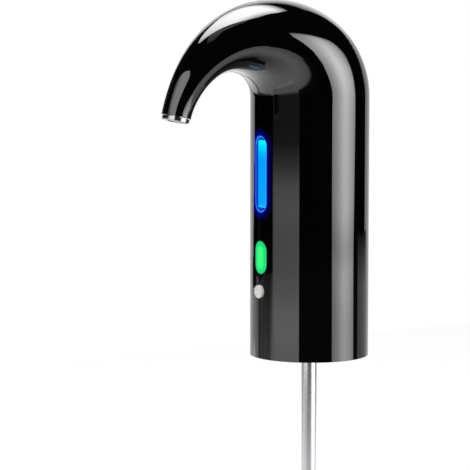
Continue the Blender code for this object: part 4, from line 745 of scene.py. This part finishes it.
pour = round_ended("pour_button_lit", POUR_LENGTH, POUR_WIDTH, OUTSIDE, BUTTON_BACK, POUR_HEIGHT)
carve(pour, limit(BODY_RADIUS - POUR_SUNK), "INTERSECT")
flange = round_ended("pour_flange", POUR_LENGTH + 2 * BUTTON_FLANGE, POUR_WIDTH + 2 * BUTTON_FLANGE, OUTSIDE,
                     BUTTON_BACK, POUR_HEIGHT)
carve(flange, limit(FITTED_RADIUS), "INTERSECT")
carve(pour, flange, "UNION")
add_stem(pour, POUR_HEIGHT)
soften(pour, POUR_ROUND)
lit_green = finish("lit_green", (0.0, 0.04, 0.01), 0.25, grain=1500)
lit_green.node_tree.nodes["Principled BSDF"].inputs["Specular IOR Level"].default_value = 0.2
# The green light fades from the middle to the edge. A paler band just inside the edge is a painted highlight.
light_up(lit_green, (0, 0, POUR_HEIGHT), POUR_LENGTH - POUR_WIDTH,
         ((0.0, 0.040, 1.0, 0.23), (0.0018, 0.040, 1.0, 0.23), (0.0024, 0.028, 0.94, 0.21),
          (0.0030, 0.001, 0.78, 0.17), (0.0037, 0.002, 0.74, 0.17), (0.0043, 0.015, 0.72, 0.19),
          (0.0047, 0.030, 0.60, 0.22), (0.0050, 0.010, 0.30, 0.10), (0.00515, 0, 0.10, 0.03)),
         weights=(1, 0, 1), strength=0.95)
stand_for(pour, "pour_button", "pour_button", lit_green)

at_power = Matrix.Translation((0, 0, POWER_HEIGHT)) @ Matrix.Rotation(math.radians(90), 4, "X")
power = turned("power_button_dished", [
    (0, POWER_TOP - POWER_DISH), (POWER_RADIUS * 0.45, POWER_TOP - POWER_DISH * 0.8),
    (POWER_RADIUS * 0.72, POWER_TOP - 0.00002), (POWER_RADIUS * 0.86, POWER_TOP - 0.00008),
    (POWER_RADIUS * 0.96, POWER_TOP - POWER_CROWN * 0.6), (POWER_RADIUS, POWER_TOP - 2 * POWER_CROWN),
    (POWER_RADIUS, -BUTTON_BACK), (0, -BUTTON_BACK),
], place=at_power)
flange = round_ended("power_flange", 2 * (POWER_RADIUS + BUTTON_FLANGE), 2 * (POWER_RADIUS + BUTTON_FLANGE),
                     OUTSIDE, BUTTON_BACK, POWER_HEIGHT)
carve(flange, limit(FITTED_RADIUS), "INTERSECT")
carve(power, flange, "UNION")
add_stem(power, POWER_HEIGHT)
soften(power, POWER_ROUND, degrees=40)
satin_white = finish("satin_white", (0.92, 0.92, 0.88), 0.38, drift=0.05, grain=2500, height=0.000006, tint=0.04)
stand_for(power, "power_button", "power_button", satin_white)


# Base cup. The moulded cup that takes the bottle's neck closes the body from below, and three
# screws, sunk deep in its wells, pull it against the inner frame.
CUP_TOP, CUP_BOTTOM, CUP_WALL, CUP_ROUND = 0.0240, 0.0005, 0.0020, 0.00015
SOCKET_RADIUS, SOCKET_TOP, SOCKET_LEAD = 0.0165, 0.0215, 0.0010
CUP_HOLE, SEAL_SEAT, SEAL_FLOOR = 0.0071, 0.0087, 0.0224
SCREW_CIRCLE, SCREWS, SCREW_POST, SCREW_WELL, SCREW_HOLE, WELL_TOP = 0.022, 3, 0.0037, 0.0028, 0.0014, 0.0180
CUT_PAST = 0.001
SCREW_SUNK, SCREW_ROUND = 0.0003, 0.00006
SCREW_PROFILE = ((0, 0.0018), (0.0012, 0.00176), (0.0019, 0.0015), (0.0024, 0.0009), (0.0025, 0.0004), (0.0025, 0),
                 (0.0011, 0), (0.0011, -0.0108), (0.0004, -0.0120), (0, -0.0120))
CROSS_LENGTH, CROSS_WIDTH, CROSS_LOW, CROSS_HIGH, CROSS_TURN = 0.0028, 0.00056, -0.0030, -0.0009, 20


def pin(name, centre, radius, low, high, sides=FINE_SIDES // 2):
    """A round bar or cutter that stands at a place between two heights."""
    return rod(name, radius, high - low, (centre[0], centre[1], (low + high) / 2), sides=sides)


screw_places = [Matrix.Rotation(math.tau * number / SCREWS, 3, "Z") @ Vector((0, SCREW_CIRCLE, 0))
                for number in range(SCREWS)]
cup = turned("base_cup_moulded", [
    (FITTED_RADIUS, CUP_TOP), (FITTED_RADIUS, CUP_BOTTOM), (SOCKET_RADIUS + SOCKET_LEAD, CUP_BOTTOM),
    (SOCKET_RADIUS, CUP_BOTTOM + SOCKET_LEAD), (SOCKET_RADIUS, SOCKET_TOP), (CUP_HOLE, SOCKET_TOP),
    (CUP_HOLE, SEAL_FLOOR), (SEAL_SEAT, SEAL_FLOOR), (SEAL_SEAT, CUP_TOP),
    (SOCKET_RADIUS + CUP_WALL, CUP_TOP), (SOCKET_RADIUS + CUP_WALL, CUP_BOTTOM + CUP_WALL),
    (FITTED_RADIUS - CUP_WALL, CUP_BOTTOM + CUP_WALL), (FITTED_RADIUS - CUP_WALL, CUP_TOP),
], closed=True, sides=SHELL_SIDES)
for place in screw_places:
    carve(cup, pin("cup_post", place, SCREW_POST, CUP_BOTTOM + CUP_WALL / 2, CUP_TOP), "UNION")
for place in screw_places:
    carve(cup, pin("cup_well", place, SCREW_WELL, -CUT_PAST, WELL_TOP))
    carve(cup, pin("cup_hole", place, SCREW_HOLE, WELL_TOP - CUT_PAST, CUP_TOP + CUT_PAST))
soften(cup, CUP_ROUND)
black_moulding = finish("black_moulding", (0.018, 0.018, 0.019), 0.45, drift=0.08, grain=2200, height=0.000012)
stand_for(cup, "base_cup", BODY, black_moulding)

zinc = finish("zinc_screws", (0.42, 0.43, 0.45), 0.28, metallic=1.0, drift=0.08, grain=3000, tint=0.1)
seat = WELL_TOP - SCREW_SUNK
for number, place in enumerate(screw_places, 1):
    at_seat = Matrix.Translation(place + Vector((0, 0, seat))) @ Matrix.Rotation(math.radians(180), 4, "X")
    screw = turned(f"base_screw_{number}_pan", SCREW_PROFILE, place=at_seat, sides=FINE_SIDES // 2)
    for turn in (0, 90):
        slot_cut = block("cross_cut", (-CROSS_LENGTH / 2, -CROSS_WIDTH / 2, seat + CROSS_LOW),
                         (CROSS_LENGTH / 2, CROSS_WIDTH / 2, seat + CROSS_HIGH))
        slot_cut.rotation_euler = (0, 0, math.radians(turn + CROSS_TURN * number))
        slot_cut.location = place
        only(slot_cut)
        bpy.ops.object.transform_apply()
        carve(screw, slot_cut)
    soften(screw, SCREW_ROUND, degrees=40)
    stand_for(screw, f"base_screw_{number}", BODY, zinc)


# Stopper and connector. A soft silicone stopper with three fins grips the bottle's bore, and
# the moulded connector through its middle carries the wine up and the air down. The seal round
# the connector is among the inner pieces.
STOPPER_TOP, STOPPER_SEAT, STOPPER_END, STOPPER_FLANGE = 0.0212, 0.0192, 0.0027, 0.0150
STOPPER_RADIUS, STOPPER_BORE, STOPPER_TIP, STOPPER_TIP_LENGTH = 0.0090, 0.0071, 0.0084, 0.0036
FINS, FIN_REACH, FIN_CREST, FIN_UNDER, STOPPER_NECK = 3, 0.0007, 0.2, 0.9, 0.0020
CONNECTOR_RADIUS, CONNECTOR_BOTTOM, CONNECTOR_TOP = 0.0068, 0.0030, 0.0332
COLLAR_RADIUS, COLLAR_BOTTOM, COLLAR_TOP = 0.0096, 0.0243, 0.0263
HUB_RADIUS, HUB_TOP, STUB_TOP, STUB_BARBS = 0.0032, 0.0380, 0.0440, (0.0425, 0.0405)
TUBE_SOCKET, TUBE_SOCKET_TOP, SOFT_ROUND = 0.0043, 0.0170, 0.00012
AIR_TURN, AIR_HEIGHT = math.radians(30), (COLLAR_TOP + CONNECTOR_TOP) / 2
AIR_STUB, AIR_STUB_LENGTH, AIR_STUB_REACH = 0.0013, 0.0078, 0.0067
AIR_BORE, AIR_BORE_LENGTH, AIR_BORE_REACH, AIR_CHANNEL_REACH = 0.0007, 0.0066, 0.0086, 0.00555
profile = [(STOPPER_BORE, STOPPER_TOP), (STOPPER_FLANGE - 0.0005, STOPPER_TOP),
           (STOPPER_FLANGE - 0.0001, STOPPER_TOP - 0.0003), (STOPPER_FLANGE, STOPPER_TOP - 0.0010),
           (STOPPER_FLANGE - 0.0001, STOPPER_SEAT + 0.0003), (STOPPER_FLANGE - 0.0005, STOPPER_SEAT),
           (STOPPER_RADIUS, STOPPER_SEAT)]
fin_top = STOPPER_SEAT - STOPPER_NECK
pitch = (fin_top - STOPPER_END - STOPPER_TIP_LENGTH) / FINS
for fin in range(FINS):
    top = fin_top - pitch * fin
    profile += [(STOPPER_RADIUS, top), (STOPPER_RADIUS + FIN_REACH, top - pitch * FIN_CREST),
                (STOPPER_RADIUS, top - pitch * FIN_UNDER)]
profile += [(STOPPER_RADIUS, STOPPER_END + STOPPER_TIP_LENGTH), (STOPPER_TIP, STOPPER_END),
            (STOPPER_BORE, STOPPER_END)]
stopper = turned("bottle_stopper_soft", profile, closed=True)
soften(stopper, SOFT_ROUND, degrees=20)
soft_grey = finish("soft_grey", (0.50, 0.485, 0.45), 0.52, drift=0.06, grain=700, height=0.00001, tint=0.08)
stand_for(stopper, "bottle_stopper", BODY, soft_grey)
connector = turned("tube_connector_moulded", [
    (STUB_BORE, STUB_TOP), (STUB_RADIUS, STUB_TOP),
    *((reach, barb) for barb in STUB_BARBS for reach in (STUB_BARB, STUB_RADIUS)),
    (STUB_RADIUS, HUB_TOP), (HUB_RADIUS, HUB_TOP), (HUB_RADIUS, CONNECTOR_TOP), (CONNECTOR_RADIUS, CONNECTOR_TOP),
    (CONNECTOR_RADIUS, COLLAR_TOP), (COLLAR_RADIUS, COLLAR_TOP), (COLLAR_RADIUS, COLLAR_BOTTOM),
    (CONNECTOR_RADIUS, COLLAR_BOTTOM), (CONNECTOR_RADIUS, CONNECTOR_BOTTOM), (TUBE_SOCKET, CONNECTOR_BOTTOM),
    (TUBE_SOCKET, TUBE_SOCKET_TOP), (STUB_BORE, TUBE_SOCKET_TOP),
], closed=True)
outward = Vector((math.cos(AIR_TURN), math.sin(AIR_TURN), 0))
level = Vector((0, 0, AIR_HEIGHT))
lying = (0, math.radians(90), AIR_TURN)
carve(connector, rod("air_stub", AIR_STUB, AIR_STUB_LENGTH, outward * AIR_STUB_REACH + level, lying), "UNION")
carve(connector, pin("air_channel", outward * AIR_CHANNEL_REACH, AIR_BORE, CONNECTOR_BOTTOM - 2 * CUT_PAST,
                     AIR_HEIGHT, sides=24))
carve(connector, rod("air_bore", AIR_BORE, AIR_BORE_LENGTH, outward * AIR_BORE_REACH + level, lying, sides=24))
soften(connector, SOFT_ROUND)
stand_for(connector, "tube_connector", BODY, grey_moulding)


# Suction tube. Three drawn stainless tubes slide in one another, held by friction, and the
# lowest one ends in a rolled foot, so that the tube reaches down into any bottle.
TUBE_TOP, TUBE_LENGTH, TUBE_WALL, TUBE_GAP, TUBE_STEP = 0.0167, 0.0920, 0.0005, 0.0003, 0.0030
TUBE_RADIUS, TUBE_ROUND, TUBE_EDGE = 0.0040, 0.00005, 0.0003
FOOT_RADIUS, FOOT_LENGTH, FOOT_ROLL = 0.0031, 0.0015, 0.0001
drawn_steel = finish("drawn_steel", (0.42, 0.42, 0.43), 0.22, metallic=1.0, drift=0.05, grain=900,
                     height=0.0000004, stretch=(1, 1, 0.02), tint=0.06)
radius = TUBE_RADIUS
TUBES = (("upper_suction_tube", BODY), ("middle_suction_tube", "middle_tube"), ("lower_suction_tube", "lower_tube"))
for number, (node, body) in enumerate(TUBES):
    bore = radius - TUBE_WALL
    top = TUBE_TOP - number * TUBE_GAP
    end = TUBE_TOP - TUBE_LENGTH - number * TUBE_STEP
    profile = [(radius, top)]
    if number == 2:
        profile += [(radius, end + FOOT_LENGTH + 4 * FOOT_ROLL), (radius + 3 * FOOT_ROLL, end + FOOT_LENGTH),
                    (FOOT_RADIUS - FOOT_ROLL, end + FOOT_LENGTH - FOOT_ROLL),
                    (FOOT_RADIUS, end + FOOT_LENGTH / 2), (FOOT_RADIUS - 2 * FOOT_ROLL, end)]
    else:
        profile += [(radius, end + TUBE_EDGE), (radius - TUBE_EDGE / 2, end)]
    profile += [(bore, end), (bore, top)]
    tube = turned(f"{node}_drawn", profile, closed=True)
    soften(tube, TUBE_ROUND, degrees=25)
    stand_for(tube, node, body, drawn_steel)
    radius = bore - TUBE_GAP


# Charging socket. A folded steel can with round ends holds a black tongue, the blade, with its
# contacts, and lies behind its opening in the back of the body.
CAN_WIDTH, CAN_THICKNESS, CAN_MOUTH, CAN_BACK = 0.0089, 0.0032, 0.0268, 0.0205
CAN_METAL, CAN_FLOOR, CAN_ROUND = 0.00035, 0.0008, 0.00008
BLADE_WIDTH, BLADE_THICKNESS, BLADE_SHORT, BLADE_ROUND = 0.0064, 0.0007, 0.0006, 0.0001
CONTACTS, CONTACT_WIDTH, CONTACT_PITCH, CONTACT_RISE = 6, 0.00035, 0.0009, 0.00006
CONTACT_START, CONTACT_END = CAN_BACK + CAN_FLOOR + 0.0008, CAN_MOUTH - BLADE_SHORT - 0.0004
can = round_ended("charging_can", CAN_WIDTH, CAN_THICKNESS, CAN_BACK, CAN_MOUTH, CHARGE_HEIGHT, lying=True)
carve(can, round_ended("charging_well", CAN_WIDTH - 2 * CAN_METAL, CAN_THICKNESS - 2 * CAN_METAL,
                       CAN_BACK + CAN_FLOOR, CAN_MOUTH + CUT_PAST, CHARGE_HEIGHT, lying=True))
soften(can, CAN_ROUND)
can_steel = finish("can_steel", (0.55, 0.55, 0.56), 0.25, metallic=1.0, drift=0.06, grain=2000, tint=0.08)
stand_for(can, "charging_socket", BODY, can_steel)
tongue = block("charging_tongue", (-BLADE_WIDTH / 2, CAN_BACK + CAN_FLOOR, CHARGE_HEIGHT - BLADE_THICKNESS / 2),
               (BLADE_WIDTH / 2, CAN_MOUTH - BLADE_SHORT, CHARGE_HEIGHT + BLADE_THICKNESS / 2), BLADE_ROUND)
stand_for(tongue, "charging_socket", BODY, black_moulding)
contacts = []
for number in range(CONTACTS):
    middle = (number - (CONTACTS - 1) / 2) * CONTACT_PITCH
    for side in (-1, 1):
        level = CHARGE_HEIGHT + side * BLADE_THICKNESS / 2
        contacts.append(block("charging_contacts", (middle - CONTACT_WIDTH / 2, CONTACT_START, level - CONTACT_RISE),
                              (middle + CONTACT_WIDTH / 2, CONTACT_END, level + CONTACT_RISE)))
contacts = gather(contacts)
gold = finish("gold_contacts", (0.85, 0.62, 0.28), 0.22, metallic=1.0, drift=0.05, grain=4000)
stand_for(contacts, "charging_socket", BODY, gold)


# Inner pieces. The frame, the pump with its motor, the cell, the boards and the hoses are
# hidden by the shells, and so are the seals, switches, lamps and board screws. They keep their
# own solids, with the finish of each real piece.
def dress(nodes, material):
    """Gives carried-over solids their finish."""
    for node in nodes:
        mesh = NODES[node].data
        mesh.materials.clear()
        mesh.materials.append(material)


dress(("inner_frame",), black_moulding)
dress(("wine_hose", "air_hose"), finish("milky_hose", (0.66, 0.66, 0.62), 0.35, drift=0.08, grain=400, tint=0.12))
dress(("connector_seal", "pump_diaphragm"), finish("black_rubber", (0.02, 0.02, 0.02), 0.75, drift=0.1,
                                                   grain=1800, height=0.00002))
dress(("pump_head",), finish("pump_moulding", (0.03, 0.03, 0.032), 0.5, drift=0.08, grain=1500, height=0.00001))
dress(("pump_motor",), finish("motor_can", (0.58, 0.58, 0.59), 0.3, metallic=1.0, drift=0.08, grain=700,
                              stretch=(1, 1, 0.05), tint=0.08))
dress(("pump_crank",), finish("turned_brass", (0.70, 0.52, 0.22), 0.3, metallic=1.0, drift=0.08, grain=2500,
                              stretch=(1, 1, 8), tint=0.1))
dress(("battery_cell",), finish("cell_wrap", (0.03, 0.12, 0.40), 0.32, drift=0.06, grain=500, tint=0.1))
dress(("main_board", "charging_board"), finish("solder_mask", (0.012, 0.11, 0.04), 0.4, drift=0.1, grain=1200,
                                               height=0.00002, tint=0.35))
dress(("pour_switch", "power_switch"), finish("switch_body", (0.03, 0.03, 0.03), 0.5, drift=0.08, grain=3000))
dress(("pour_plunger", "power_plunger"), finish("switch_plunger", (0.70, 0.69, 0.66), 0.4, drift=0.06,
                                                grain=3000, tint=0.05))
dress([f"board_screw_{number}" for number in range(1, 5)], zinc)
LAMP_HALF = 0.002
for word, colour, nodes in (
        ("blue", (0.1, 0.5, 1.0), ("window_led_upper", "window_led_middle", "window_led_lower")),
        ("green", (0.1, 1.0, 0.3), ("button_led_upper", "button_led_lower"))):
    lamp_resin = finish(f"{word}_lamp", [part * 0.3 for part in colour], 0.2, grain=2000)
    light_up(lamp_resin, (0, 0, 0), 0, ((0.0, *colour), (LAMP_HALF, *(part * 0.7 for part in colour))),
             weights=(1, 0, 0), strength=3.0)
    dress(nodes, lamp_resin)
